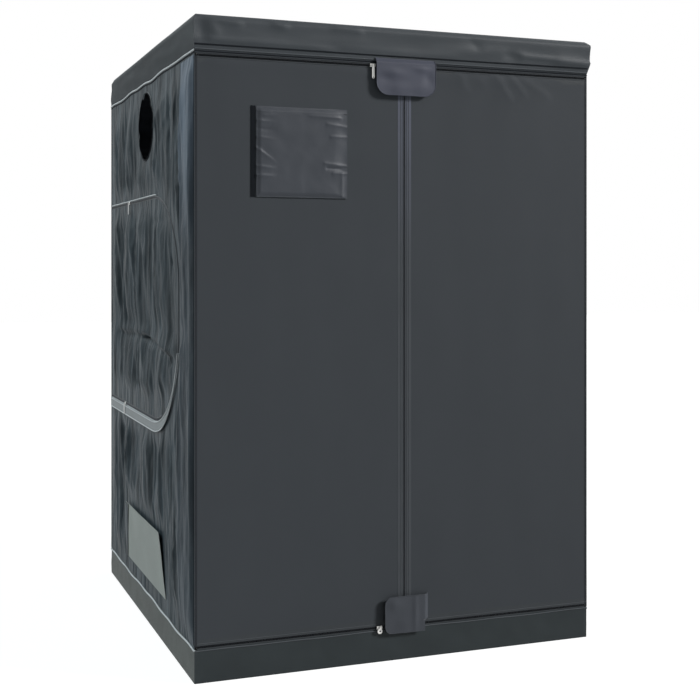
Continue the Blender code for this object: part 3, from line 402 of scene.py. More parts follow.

# Threads, wrinkles, and random tone of the cloth, which along the walls' wrinkles runs in streaks
# of painted sheen; a wrinkle's width, length, lean and share of the depth
WEAVE_PITCH = 0.0016
WEAVE_DEPTH = 0.00012
WAVE_FACTOR = 20
WRINKLES = ((0.090, 0.500, 0.08, 1.0), (0.050, 0.260, -0.16, 0.45), (0.060, 0.090, 0.7, 0.30))
WRINKLE_DETAIL = 2
WALL_WRINKLE = 0.022
WEAR_SIZE = 0.120
TONE_AND_SHEEN_DETAIL = 6
TONE_AND_SHEEN_LOW_SHARE = 0.35
TONE_AND_SHEEN_HIGH_SHARE = 0.65
SHEEN_STREAKS_ACROSS = 1.6

# Reflection of a finish that names none, and how colours on screen become the renderer's own
SPECULAR = 0.5
SCREEN_TOP = 255
DARK_END_SHARE = 0.04045
DARK_SLOPE = 12.92
CURVE_OFFSET_SHARE = 0.055
CURVE_POWER = 2.4

# Lights, floor, film and camera; a light's name, place, spread in degrees, strength and colour
BACKDROP_SIDE = 40.0
LIGHTS = (
    ("right_light", (0.80, -0.42, 0.42), 12, 4.1, (1.0, 0.99, 0.99)),
    ("rear_light", (-0.50, 0.66, 0.54), 16, 2.6, (0.88, 0.97, 1.0)),
)
FILL_SHARE = 0.15
FLOOR_COLOUR = (178, 178, 178)
FLOOR_ROUGHNESS = 0.9
FLOOR_SPECULAR = 0.1
FLOOR_GLOW = 0.75
FILM_COLOUR = (150, 190, 160)
FILM_ROUGHNESS = 0.08
FILM_CLEAR_SHARE = 0.85
CAMERA_PLACE = Vector((-1.390, -3.655, 1.119))
CAMERA_AIM = Vector((0.3304, 0.9438, 0.0))
IMAGE_SIDE = 700
FOCAL_PIXELS = 1167.98
CENTRE_PIXELS = (295.06, 267.15)
SENSOR = 36.0


def smooth_share(x):
    """0 to 1, eased at both ends."""
    x = np.clip(x, 0, 1)
    return x * x * (3 - 2 * x)


def noise(u, v, seed):
    """Smooth gradient noise with cells of side 1, about -1 to 1."""
    whole_u = np.floor(u).astype(np.int64)
    whole_v = np.floor(v).astype(np.int64)
    part_u = u - whole_u
    part_v = v - whole_v

    def corner(du, dv):
        mixed = (whole_u + du) * ACROSS_FACTOR + (whole_v + dv) * UP_FACTOR + seed * SEED_FACTOR
        mixed = (mixed ^ (mixed >> MIX_SHIFT)) * MIX_FACTOR
        angle = ((mixed ^ (mixed >> LAST_SHIFT)) & LOW_BITS) / LOW_BITS * math.tau
        return np.cos(angle) * (part_u - du) + np.sin(angle) * (part_v - dv)

    across = smooth_share(part_u)
    up = smooth_share(part_v)
    low = corner(0, 0) + across * (corner(1, 0) - corner(0, 0))
    high = corner(0, 1) + across * (corner(1, 1) - corner(0, 1))
    return NOISE_GAIN * (low + up * (high - low))


def distance_to_path(points, path):
    """Each point's distance to an open path of corners."""
    best = np.full(len(points), np.inf)
    for start, end in zip(path[:-1], path[1:]):
        start = np.asarray(start, float)
        run = np.asarray(end, float) - start
        share = np.clip((points - start) @ run / (run @ run), 0, 1)
        best = np.minimum(best, np.linalg.norm(points - start - share[:, None] * run, axis=1))
    return best


def inside(points, loop):
    """Which points lie inside a closed loop of corners."""
    loop = np.asarray(loop, float)
    found = np.zeros(len(points), bool)
    x, y = points[:, 0], points[:, 1]
    for (x0, y0), (x1, y1) in zip(loop, np.roll(loop, -1, axis=0)):
        if y0 != y1:
            crosses = (y0 > y) != (y1 > y)
            found ^= crosses & (x < x0 + (y - y0) * (x1 - x0) / (y1 - y0))
    return found


def in_field(points, outer, holes):
    """Which points lie inside an outline and outside its holes."""
    found = inside(points, outer)
    for hole in holes:
        found &= ~inside(points, hole)
    return found


def resampled(path, cell, closed=False):
    """The same path with points at most cell apart, its corners kept."""
    path = [tuple(p) for p in path]
    ends = path[1:] + path[:1] if closed else path[1:]
    out = []
    for start, end in zip(path, ends):
        count = max(1, math.ceil(math.dist(start, end) / cell))
        for i in range(count):
            out.append(tuple(a + (b - a) * i / count for a, b in zip(start, end)))
    if not closed:
        out.append(path[-1])
    return out


def offset_path(path, distance):
    """An open path moved to its left by distance, with mitred corners."""
    points = np.asarray(path, float)
    runs = np.diff(points, axis=0)
    runs /= np.linalg.norm(runs, axis=1)[:, None]
    lefts = np.stack([-runs[:, 1], runs[:, 0]], 1)
    before = np.vstack([lefts[:1], lefts])
    after = np.vstack([lefts, lefts[-1:]])
    middle = before + after
    middle /= (middle * before).sum(1)[:, None]
    return points + middle * distance


def rectangle(left, right, low, high):
    """The corners of a rectangle, anticlockwise."""
    return [(left, low), (right, low), (right, high), (left, high)]


def ring(radius, turns, centre):
    """Points round a centre, one at each turn, at one radius or at one for each."""
    return np.stack([radius * np.cos(turns), radius * np.sin(turns)], 1) + centre


def extent(points):
    """The width and the height of what the points span."""
    return tuple(np.max(points, axis=0) - np.min(points, axis=0))


def depth_u(depth):
    """The left wall's u for a depth behind the front of the tent."""
    return HALF_DEPTH - depth


def spaced(low, high, cell):
    """Even places from low to high, about cell apart."""
    return np.linspace(low, high, max(2, round((high - low) / cell) + 1))


def quads(count, rows):
    """The faces between rows of points, count points to a row."""
    firsts = [row * count + i for row in range(rows - 1) for i in range(count - 1)]
    return [(a, a + 1, a + 1 + count, a + count) for a in firsts]


def grid(us, vs):
    """Points and quads of a grid with its columns at us and its rows at vs."""
    all_u, all_v = np.meshgrid(us, vs)
    return np.stack([all_u.ravel(), all_v.ravel()], 1), quads(len(us), len(vs))


def patch(outer, holes, cell):
    """Points and triangles of a flat outline with holes, about cell apart."""
    loops = [resampled(loop, cell, closed=True) for loop in [outer] + holes]
    low, high = np.min(outer, axis=0), np.max(outer, axis=0)
    inner, _ = grid(*(spaced(*ends, cell) for ends in zip(low, high)))
    keep = in_field(inner, outer, holes)
    for loop in loops:
        keep &= distance_to_path(inner, loop + loop[:1]) > cell * EDGE_CLEAR_SHARE
    points = []
    edges = []
    for loop in loops:
        first = len(points)
        points += loop
        edges += [(first + i, first + (i + 1) % len(loop)) for i in range(len(loop))]
    points += [tuple(p) for p in inner[keep]]
    made = delaunay_2d_cdt([Vector(p) for p in points], edges, [], 0, WELD)
    points = np.array(made[0])
    faces = np.array(made[2])
    keep = in_field(points[faces].mean(axis=1), outer, holes)
    return points, [tuple(face) for face in faces[keep]]


def facing_out(points, faces):
    """The same faces, turned to face out of the wall."""
    first = np.array([face[:3] for face in faces])
    a, b, c = (points[first[:, i]] for i in range(3))
    turn = (b[:, 0] - a[:, 0]) * (c[:, 1] - b[:, 1]) - (b[:, 1] - a[:, 1]) * (c[:, 0] - b[:, 0])
    return faces if turn.sum() > 0 else [face[::-1] for face in faces]


def ribbon(lines):
    """Points and faces of a strip whose lines run side by side."""
    points = np.concatenate([np.asarray(line, float) for line in lines])
    return points, facing_out(points, quads(len(lines[0]), len(lines)))


def on_wall(side, points, out):
    """World places of points on a wall, stood out by one distance or by one for each."""
    turns = SIDES.index(side)
    reach = HALF_WIDTH if turns % 2 else HALF_DEPTH
    u, v = np.asarray(points, float).T
    x, y = u, 0 * u - (reach + out)
    for _ in range(turns):
        x, y = -y, x
    return np.stack([x, y, v], 1)


def added(name, data):
    """A new object in the scene."""
    obj = bpy.data.objects.new(name, data)
    bpy.context.scene.collection.objects.link(obj)
    return obj


def final_mesh(obj):
    """A new mesh of an object as its modifiers or its bevel shape it."""
    bpy.context.view_layer.update()
    graph = bpy.context.evaluated_depsgraph_get()
    return bpy.data.meshes.new_from_object(obj.evaluated_get(graph), depsgraph=graph)


def apply_modifiers(obj):
    """Make an object's modifiers part of its mesh."""
    mesh = final_mesh(obj)
    obj.modifiers.clear()
    obj.data = mesh


def sheet_object(name, places, faces, uvs, finishes, thickness=CLOTH):
    """Cloth from its outer face's points, thickened inward; finishes are outside and inside."""
    mesh = bpy.data.meshes.new(name)
    mesh.from_pydata([tuple(p) for p in places], [], faces)
    layer = mesh.uv_layers.new(name=CLOTH_MAP)
    corners = np.array([i for face in faces for i in face])
    layer.uv.foreach_set("vector", np.asarray(uvs, np.float32)[corners].ravel())
    for finish in finishes:
        mesh.materials.append(finish)
    obj = added(name, mesh)
    solid = obj.modifiers.new("Cloth", "SOLIDIFY")
    solid.thickness = thickness
    solid.offset = -1
    solid.material_offset = len(finishes) - 1
    apply_modifiers(obj)
    obj.data.shade_smooth()
    obj.data.set_sharp_from_angle(angle=SHARP_ANGLE)
    return obj


def wall_cloth(name, side, laid, out, finishes, thickness=CLOTH):
    """Cloth laid out flat on a wall, then bent outward by out."""
    points, faces = laid
    return sheet_object(name, on_wall(side, points, out), faces, points, finishes, thickness)


def strip(name, side, path, near, far, out, finish):
    """A flat strip of cloth beside a path, between two distances to its left."""
    laid = ribbon([offset_path(path, distance) for distance in (near, far)])
    return wall_cloth(name, side, laid, out, [finish], FABRIC)


def coil(name, side, path, sign, finish):
    """Half a coil zip along a path: a row of rounded turns, on its left when sign is 1."""
    fine = resampled(path, COIL_PITCH / 2)
    turn = np.where(np.arange(len(fine)) % 2 == 0, 1.0, COIL_GROOVE_SHARE)
    reaches = [GAP / 2 + (ZIP_COIL - GAP / 2) * share for share in COIL_ACROSS_SHARES]
    laid = ribbon([offset_path(fine, sign * reach) for reach in reaches])
    out = np.concatenate([ZIP_COIL_RISE * height * turn for height in COIL_HEIGHT_SHARES])
    return wall_cloth(name, side, laid, out, [finish], CLOTH / 2)


def tube(name, places, radius, finish, closed=False):
    """A round cord of piping through places in the world."""
    curve = bpy.data.curves.new(name, "CURVE")
    curve.dimensions = "3D"
    curve.bevel_depth = radius
    curve.bevel_resolution = 1
    curve.use_fill_caps = not closed
    spline = curve.splines.new("POLY")
    spline.points.add(len(places) - 1)
    for point, place in zip(spline.points, places):
        point.co = (*place, 1)
    spline.use_cyclic_u = closed
    line = added(name, curve)
    mesh = final_mesh(line)
    bpy.data.objects.remove(line)
    mesh.materials.clear()
    mesh.materials.append(finish)
    mesh.shade_smooth()
    return added(name, mesh)


def dress(obj, body, nodes=()):
    """Hang a piece on its body and let it stand for its solids."""
    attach(obj, body)
    if nodes:
        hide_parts(*nodes)
    return obj


def piping(name, side, path, radius, rise, finish, body="root"):
    """Piping along a path on a wall, its middle at rise out from the wall."""
    dress(tube(name, on_wall(side, path, rise), radius, finish), body)


def creases(across, up, rows, width, height):
    """Sum of sharp ridges, each a line with its height and its width to either side."""
    out = np.zeros_like(across)
    for a0, b0, a1, b1, lift, ahead, behind in rows:
        start = np.array((a0 * width, b0 * height))
        run = np.array((a1 * width, b1 * height)) - start
        length = math.hypot(*run)
        run /= length
        along = ((across - start[0]) * run[0] + (up - start[1]) * run[1]) / length
        aside = (across - start[0]) * run[1] - (up - start[1]) * run[0]
        spread = np.where(aside > 0, ahead, behind) * width
        crest = np.sqrt(aside**2 + CREST_ROUND**2) - CREST_ROUND
        ends = smooth_share((along + CREASE_TAIL_SHARE) / CREASE_TAIL_SHARE)
        ends *= smooth_share((1 + CREASE_TAIL_SHARE - along) / CREASE_TAIL_SHARE)
        out += lift * np.exp(-crest / spread) * ends
    return out


def dimples(across, up, rows, width, height):
    """Sum of soft dents and bumps, each a middle with its lift, its width and its height."""
    out = np.zeros_like(across)
    for a, b, lift, wide, high in rows:
        away = ((across / width - a) / wide) ** 2 + ((up / height - b) / high) ** 2
        out += lift * np.exp(-away)
    return out


def edge_fade(u, v, half):
    """0 along a wall's seams and 1 in its field."""
    return (
        smooth_share((half - abs(u) - SEAM_CALM) / FOLD_FADE)
        * smooth_share((v - WALL_LOW - SEAM_CALM) / FOLD_FADE)
        * smooth_share((WALL_HIGH - v - SEAM_CALM) / FOLD_FADE)
    )


def side_door_outline(inset, hinge_gap=0):
    """The side door's D shape from its hinge's top to its hinge's bottom, drawn in by inset."""
    hinge = depth_u(SIDE_DOOR_HINGE) + hinge_gap
    centre = depth_u(SIDE_DOOR_FRONT) - SIDE_CORNER_LENGTH
    points = [(hinge, SIDE_DOOR_TOP - inset)]
    for middle, start in (
        (SIDE_DOOR_TOP - SIDE_CORNER_HEIGHT, math.pi / 2),
        (SIDE_DOOR_BOTTOM + SIDE_CORNER_HEIGHT, 0),
    ):
        for i in range(SIDE_ARC_POINTS + 1):
            turn = start - math.pi / 2 * i / SIDE_ARC_POINTS
            u = centre + (SIDE_CORNER_LENGTH - inset) * math.cos(turn)
            v = middle + (SIDE_CORNER_HEIGHT - inset) * math.sin(turn)
            points.append((u, v))
    points.append((hinge, SIDE_DOOR_BOTTOM + inset))
    return points


def vent_outline(inset):
    """The vent cover's tapered outline, drawn in by inset."""
    return [
        (depth_u(VENT_BACK_LOW) + inset, VENT_LOW + inset),
        (depth_u(VENT_FRONT_LOW) - inset, VENT_LOW + inset),
        (depth_u(VENT_FRONT_HIGH) - inset, VENT_HIGH - inset),
        (depth_u(VENT_BACK_HIGH) + inset, VENT_HIGH - inset),
    ]


def main_folds(u, v):
    """The left wall's main folds, as in the solids."""
    depth_share = (HALF_DEPTH - u) / TENT_DEPTH
    height_share = v / TENT_HEIGHT
    out = np.zeros_like(u)
    for place, height in zip(FOLD_PLACE_SHARES, FOLD_HEIGHT_SHARES):
        drift = FOLD_LEAN_SHARE * np.sin(math.tau * (height_share + place))
        away = (depth_share - place - drift) / FOLD_WIDTH_SHARE
        out += height * np.exp(-away * away)
    crease = (height_share - CREASE_HEIGHT_SHARE) / CREASE_WIDTH_SHARE
    return out - CREASE_DEPTH_SHARE * np.exp(-crease * crease)


def fine_folds(u, v):
    """The left wall's sharper creases, streaks, pleats and crumples."""
    streak = noise(u / STREAK_WIDTH + v / STREAK_LEAN, v / STREAK_LENGTH, STREAK_SEED)
    fine = creases(HALF_DEPTH - u, v, LEFT_CREASE_SHARES, TENT_DEPTH, TENT_HEIGHT)
    fine += STREAK_SHARE * (1 - 2 * abs(streak))
    fine += PLEAT_SHARE * noise(u / PLEAT_WIDTH, v / STREAK_LENGTH, PLEAT_SEED)
    return fine + CRUMPLE_SHARE * noise(u / CRUMPLE, v / CRUMPLE, CRUMPLE_SEED)


def corner_roll(u, v):
    """The left wall's soft roll beside the front corner."""
    depth = HALF_DEPTH - u
    away = (depth - ROLL_DEPTH) / np.where(depth < ROLL_DEPTH, ROLL_DEPTH / 2, ROLL_WIDTH)
    roll = ROLL_SHARE * np.exp(-away * away) * smooth_share(depth / ROLL_DEPTH)
    roll *= smooth_share((v - WALL_LOW) / TRIM_FADE) * smooth_share((WALL_HIGH - v) / TRIM_FADE)
    return roll * (1 + noise(u / CRUMPLE, v / STREAK_LENGTH, ROLL_SEED) / 2)


def left_fold(points):
    """How far the left wall's cloth stands out, calm along its seams and round its openings."""
    u, v = points.T
    outline = vent_outline(0)
    port = np.hypot(u - depth_u(PORT_DEPTH), v - PORT_HEIGHT) - PORT_RADIUS
    vent = distance_to_path(points, outline + outline[:1])
    zip_line = distance_to_path(points, side_door_outline(0))
    guard = GUARD_WIDTH * smooth_share((SIDE_DOOR_BOTTOM + 2 * TRIM_FADE - v) / TRIM_FADE)
    calm = edge_fade(u, v, HALF_DEPTH) * ~inside(points, outline)
    calm *= smooth_share((port - SLEEVE_RIM) / TRIM_FADE)
    calm *= smooth_share((zip_line - 2 * SIDE_TAPE - guard) / TRIM_FADE)
    folds = main_folds(u, v) * smooth_share((vent - VENT_CALM) / TRIM_FADE)
    folds += fine_folds(u, v) * smooth_share(vent / TRIM_FADE)
    return FOLD_DEPTH * (folds * calm + corner_roll(u, v))


def plain_fold(points):
    """The shallow folds of a wall with nothing in it."""
    u, v = points.T
    share = u / TENT_WIDTH
    waves = np.sin(math.tau * PLAIN_WAVES * share + v / TENT_HEIGHT)
    waves += np.sin(math.tau * PLAIN_RIPPLES * share)
    waves += noise(u / STREAK_WIDTH, v / STREAK_LENGTH, PLAIN_SEED)
    return PLAIN_FOLD_DEPTH / 2 * waves * edge_fade(u, v, HALF_WIDTH)


def leaf_fold(points):
    """The faint slackness of the front leaves, most of it under the header."""
    u, v = points.T
    slack = noise(u / LEAF_WAVE, v / LEAF_WAVE, LEAF_SEED)
    slack += LEAF_RIPPLE_SHARE * noise(u / LEAF_RIPPLE, v / LEAF_WAVE, LEAF_RIPPLE_SEED)
    slack += creases(u + HALF_WIDTH, v, FRONT_CREASE_SHARES, TENT_WIDTH, TENT_HEIGHT)
    calm = smooth_share((HALF_WIDTH - abs(u)) / TRIM_FADE)
    calm *= smooth_share(abs(u - CENTRE_ZIP_X) / TRIM_FADE)
    calm *= smooth_share((v - SILL_ZIP_Z) / TRIM_FADE)
    calm *= smooth_share((HEADER_ZIP_Z - HEM_RIB_DROP - v) / HEM_FADE)
    return LEAF_FOLD_DEPTH * slack * calm


def cap_swell(x, y, share):
    """How far the band bellies out beside and in front at a share of its drop."""
    profile = smooth_share(share / CAP_SHOULDER_SHARE) * np.clip(1 - share, 0, 1) ** CAP_FALL
    toward_right = (x / HALF_WIDTH + 1) / 2
    toward_front = (1 - y / HALF_DEPTH) / 2
    bulge = 1 - (2 * toward_front - 1) ** 2
    front = CAP_PROUD + (CAP_FRONT_PROUD - CAP_PROUD) * toward_right**2
    right = CAP_PROUD + (CAP_SIDE_PROUD - CAP_PROUD) * toward_front**2
    left = CAP_LEFT_PROUD + (CAP_SIDE_PROUD - CAP_LEFT_PROUD) * bulge
    return profile * np.where(x > 0, right, left), profile * front


def turned_down(count, side, drop, rows):
    """A square lid over the tent's plan with its rim turned down all round.

    Gives its faces, its points on the lid's square, the way out at each, how far down each is
    as a share of the drop, and a flat layout of the cloth.
    """
    half = np.array((HALF_WIDTH, HALF_DEPTH)) - side
    ticks = np.linspace(-1, 1, count + 1)
    points, faces = grid(ticks, ticks)
    index = np.arange((count + 1) ** 2).reshape(count + 1, count + 1)
    rim = [*index[0, :-1], *index[:-1, -1], *index[-1, :0:-1], *index[:0:-1, 0]]
    square = points * half
    outward = np.where(abs(points[rim]) > 1 - WELD, np.sign(points[rim]), 0)
    arc = np.linspace(0, math.pi / 2, ROUND_STEPS + 1)[1:]
    profile = [(side * math.sin(t), side * (1 - math.cos(t))) for t in arc]
    profile += [(side, side + (drop - side) * (i + 1) / rows) for i in range(rows)]
    parts = [(square, np.zeros_like(square), np.zeros(len(square)), square)]
    last = rim
    first = len(square)
    for out, down in profile:
        low_rim = square[rim] + outward * out
        flat = square[rim] + outward * (out + down)
        parts.append((low_rim, outward, np.full(len(rim), down / drop), flat))
        now = range(first, first + len(rim))
        for i in range(len(rim)):
            j = (i + 1) % len(rim)
            faces.append((last[i], now[i], now[j], last[j]))
        last = now
        first += len(rim)
    return faces, *(np.concatenate(part) for part in zip(*parts))


def along_rim(xy, outward):
    """How far along its side each point of a turned-down square lies."""
    return np.where(abs(outward[:, 0]) > 0, xy[:, 1], xy[:, 0])


def cap_place(xy, outward, share):
    """Where points of the turned-down square lie on the roof and its bellied, creased band."""
    x, y = xy.T
    along = along_rim(xy, outward)
    ripple = noise(along / CAP_WAVE + share, share * CAP_WAVE_ROWS, CAP_SEED)
    ripple += RIPPLE_SHARE * noise(along / CAP_RIPPLE, share * CAP_RIPPLE_ROWS, CAP_RIPPLE_SEED)
    fine = creases(x + HALF_WIDTH, CAP_DROP * (1 - share), CAP_CREASE_SHARES, TENT_WIDTH, CAP_DROP)
    extra = ripple + fine * (outward[:, 1] < 0)
    extra *= CAP_FOLD_DEPTH * np.sin(math.pi * np.clip(share, 0, 1))
    out = np.stack(cap_swell(x, y, share), 1) + extra[:, None]
    places = np.column_stack([xy + outward * out, TENT_HEIGHT - share * CAP_DROP])
    sag = noise(x / ROOF_WAVE, y / ROOF_WAVE, ROOF_SEED) - 1
    sag *= smooth_share((HALF_WIDTH - abs(x)) / FOLD_FADE)
    sag *= smooth_share((HALF_DEPTH - abs(y)) / FOLD_FADE)
    waver = 1 + noise(along / CAP_WAVE, share, EDGE_SEED)
    places[:, 2] += ROOF_SAG * sag * (share == 0) - EDGE_WAVER * waver * (1 - share) * (share > 0)
    inward = np.stack([HALF_WIDTH + x, HALF_DEPTH - y, share * CAP_DROP], 1)
    bend = CAP_CORNER * (1 - smooth_share(np.linalg.norm(inward, axis=1) / CAP_CORNER_REACH))
    past = np.maximum(bend[:, None] - inward, 0)
    far = np.linalg.norm(past, axis=1)
    pull = past * np.maximum(1 - bend / np.maximum(far, WELD), 0)[:, None]
    return places + pull * (1, -1, -1)


def finish_sides(obj, finish):
    """Give the outer faces that look left or right a finish of their own: a darker or lighter copy
    of the cloth that paints shade or sheen on those sides.
    """
    obj.data.materials.append(finish)
    for face in obj.data.polygons:
        if face.material_index == 0 and abs(face.normal.x) > SIDE_FACING:
            face.material_index = len(obj.data.materials) - 1


def roof_cap():
    """The roof and the band turned down from it, with dark cords along its front's stitching and
    lower edge that paint shade and shadow there, and a lighter hem cord that paints a highlight.
    """
    faces, xy, outward, share, flat = turned_down(CAP_CELLS, CAP_ROUND, CAP_DROP, CAP_ROWS)
    places = cap_place(xy, outward, share)
    obj = sheet_object("roof_cloth", places, faces, flat, [CAP_CANVAS, LINING])
    # The band's sides get a darker copy of its cloth: painted shade.
    finish_sides(obj, SHADED_CAP_SIDE)
    dress(obj, "root", ["roof_cap"])
    line = np.array([(x, -HALF_DEPTH) for x in spaced(-HALF_WIDTH, HALF_WIDTH, CELL)])
    outward = np.zeros_like(line) + (0, -1)
    for name, down_share, finish in (
        ("cap_stitch_shade", CAP_STITCH_SHARE, SEAM_SHADE),
        ("cap_hem", CAP_HEM_SHARE, RIM),
        ("cap_edge_shadow", 1, SEAM_SHADE),
    ):
        places = cap_place(line, outward, np.full(len(line), down_share))
        dress(tube(name, places, CAP_STITCH, finish), "root")


def floor_tub():
    """The waterproof floor, its turned-up sides a little buckled."""
    faces, xy, outward, share, flat = turned_down(TUB_CELLS, TUB_ROUND, TUB_RISE, TUB_ROWS)
    along = along_rim(xy, outward)
    buckle = noise(along / TUB_WAVE, share, TUB_SEED)
    ripple = noise(along / TUB_RIPPLE + share, share * TUB_RIPPLE_ROWS, TUB_RIPPLE_SEED)
    extra = TUB_FOLD_DEPTH * np.sin(math.pi * share) * (buckle + RIPPLE_SHARE * ripple)
    places = np.column_stack([xy + outward * extra[:, None], share * TUB_RISE])
    turned = [face[::-1] for face in faces]
    obj = sheet_object("tub_cloth", places, turned, flat, [TARPAULIN, LINING])
    # The tub's sides get a lighter copy of its coating: painted sheen.
    finish_sides(obj, LIT_TUB_SIDE)
    dress(obj, "root", ["floor_tub"])


def hanging_walls():
    """The left wall with its openings, and the plain right and rear walls."""
    finishes = [WALL_CANVAS, LINING]
    outer = rectangle(-HALF_DEPTH, HALF_DEPTH, WALL_LOW, WALL_HIGH)
    turns = math.tau * np.arange(PORT_STEPS) / PORT_STEPS
    port = [tuple(p) for p in ring(PORT_RADIUS, turns, (depth_u(PORT_DEPTH), PORT_HEIGHT))]
    holes = [side_door_outline(-SIDE_TAPE - GAP), port, vent_outline(VENT_COVER_LAP)]
    laid = patch(outer, holes, WALL_CELL)
    left = wall_cloth("wall_left_cloth", "left", laid, left_fold(laid[0]), finishes)
    dress(left, "root", ["wall_left"])
    for name, side, half in (
        ("wall_right", "right", HALF_DEPTH),
        ("wall_back", "rear", HALF_WIDTH - HINGE_INSET),
    ):
        laid = grid(spaced(-half, half, 2 * CELL), spaced(WALL_LOW, WALL_HIGH, 2 * CELL))
        wall = wall_cloth(f"{name}_cloth", side, laid, plain_fold(laid[0]), finishes)
        dress(wall, "root", [name])


def corner_sheen_strip():
    """A lighter, bluer strip over the left wall beside the front corner, following its folds:
    painted sheen.
    """
    us = spaced(depth_u(CORNER_SHEEN_END), depth_u(CORNER_SHEEN_START), WALL_CELL)
    laid = grid(us, spaced(WALL_LOW + CELL, WALL_HIGH - CELL, 2 * WALL_CELL))
    out = left_fold(laid[0]) + CORNER_SHEEN_PROUD
    facing = wall_cloth("corner_sheen_strip", "left", laid, out, [CORNER_SHEEN_CANVAS])
    dress(facing, "root")


def side_door():
    """The D-shaped side door with its zip and the trim round it."""
    outline = side_door_outline(SIDE_TAPE + GAP, GAP)
    laid = patch(outline, [], WALL_CELL)
    door = wall_cloth("side_door_cloth", "left", laid, left_fold(laid[0]), [WALL_CANVAS, LINING])
    dress(door, "side_door", ["side_door"])
    path = resampled(side_door_outline(0, ZIP_STOP), CELL)
    tape = strip("side_door_tape", "left", path, -SIDE_TAPE, SIDE_TAPE, 0, TAPE)
    dress(tape, "side_door", ["side_door_zip"])
    for name, sign in (("inner", -1), ("outer", 1)):
        run = coil(f"side_door_coil_{name}", "left", path, sign, CENTRE_COIL)
        dress(run, "side_door")
    side_door_trim(path)


def side_door_trim(path):
    """The piping round the side door's zip, and the guard strip sewn on below the door."""
    share = np.linspace(0, 1, len(path))
    lower = share > GUARD_START_SHARE
    edge = offset_path(path, SIDE_TAPE + PIPING)
    for name, line in (("top", edge[share < TOP_RUN_SHARE]), ("low", edge[lower])):
        piping(f"side_door_piping_{name}", "left", line, PIPING, GAP, PIPING_CLOTH)
    width = GUARD_WIDTH * smooth_share((share[lower] - GUARD_START_SHARE) / GUARD_GROWTH_SHARE)
    inner = offset_path(path, SIDE_TAPE + 2 * PIPING)[lower]
    outward = offset_path(path, 1)[lower] - np.array(path)[lower]
    outer = inner + outward * width[:, None]
    laid = ribbon([inner, outer])
    guard = wall_cloth("side_door_guard", "left", laid, GUARD_PROUD, [GUARD_CLOTH], FABRIC)
    dress(guard, "root")
    for name, line in (("edge", outer), ("seam", inner)):
        piping(f"side_door_guard_{name}", "left", line, PIPING, GUARD_PROUD, PIPING_CLOTH)


def duct_sleeve():
    """The duct port's sleeve, gathered as it runs in through the wall, and its mouth."""
    centre = (depth_u(PORT_DEPTH), PORT_HEIGHT)
    turns = np.linspace(0, math.tau, PORT_STEPS + 1)
    points, faces = grid(turns, np.linspace(0, 1, SLEEVE_ROWS))
    turn, share = points.T
    outer = PORT_RADIUS - GAP - CLOTH
    taper = smooth_share((share - SLEEVE_TAPER_SHARE) / (1 - SLEEVE_TAPER_SHARE))
    drift = SLEEVE_DRIFT * noise(turn, SLEEVE_DRIFT_ROWS * share, SLEEVE_SEED)
    pleats = (1 + np.sin(SLEEVE_PLEATS * turn + drift)) / 2
    radius = outer + (SLEEVE_END_RADIUS - CLOTH - outer) * taper
    radius -= SLEEVE_GATHER * pleats * (MOUTH_GATHER_SHARE + smooth_share(2 * share))
    out = FABRIC - (SLEEVE_LENGTH + FABRIC) * share
    places = on_wall("left", ring(radius, turn, centre), out)
    laid = points * (PORT_RADIUS, SLEEVE_LENGTH)
    # The sleeve is near-black, darker than the wall's cloth: painted shade inside the port.
    sleeve = sheet_object("sleeve_cloth", places, faces, laid, [SHADE_BLACK])
    dress(sleeve, "root", ["duct_sleeve"])
    port_mouth(turns, outer, centre)


def port_mouth(turns, outer, centre):
    """The dented lip of the duct port with its near-black rim, a painted shade, and a light arc of
    piping over part of it, a painted glint.
    """
    dents = noise(LIP_WAVES * np.cos(turns), LIP_WAVES * np.sin(turns), LIP_SEED)
    mouth = ring(outer - SLEEVE_RIM / 2 - LIP_DENT * np.maximum(dents, 0), turns, centre)
    laid = ribbon([ring(outer, turns, centre), mouth])
    dress(wall_cloth("sleeve_lip", "left", laid, GAP, [WALL_CANVAS]), "root")
    # The rim is near-black: painted shade at the port's mouth.
    places = on_wall("left", mouth[:-1], 0)
    dress(tube("sleeve_rim", places, SLEEVE_RIM / 2, SHADE_BLACK, closed=True), "root")
    # A light arc of piping at the upper front of the mouth: painted glint.
    lit = turns[(turns > GLINT_START) & (turns < GLINT_END)]
    glint = ring(PORT_RADIUS + PIPING / 2, lit, centre)
    piping("sleeve_glint", "left", glint, PIPING / 2, PIPING / 2, GUARD_CLOTH)


def vent_net():
    """The net behind the vent's cover."""
    corners = vent_outline(VENT_COVER_LAP - VENT_NET_LAP)
    (low_left, low), (low_right, _), (high_right, high), (high_left, _) = corners
    cells = (NET_CELL / (low_right - low_left), NET_CELL / (high - low))
    points, faces = grid(*(spaced(0, 1, cell) for cell in cells))
    across, up = points.T
    left = low_left + (high_left - low_left) * up
    right = low_right + (high_right - low_right) * up
    laid = np.stack([left + (right - left) * across, low + (high - low) * up], 1), faces
    net = wall_cloth("vent_net", "left", laid, -2 * FABRIC - GAP, [NET], 0)
    strands = net.modifiers.new("Net", "WIREFRAME")
    strands.thickness = NET_STRAND
    strands.use_replace = True
    apply_modifiers(net)
    dress(net, "root", ["vent_mesh"])


def leaned(points, rise):
    """World places of points of the vent's cover, which leans out from its lower edge."""
    up = points[:, 1] - VENT_LOW
    along = np.stack([points[:, 0], VENT_LOW + up * math.cos(VENT_COVER_LEAN)], 1)
    return on_wall("left", along, rise + up * math.sin(VENT_COVER_LEAN))


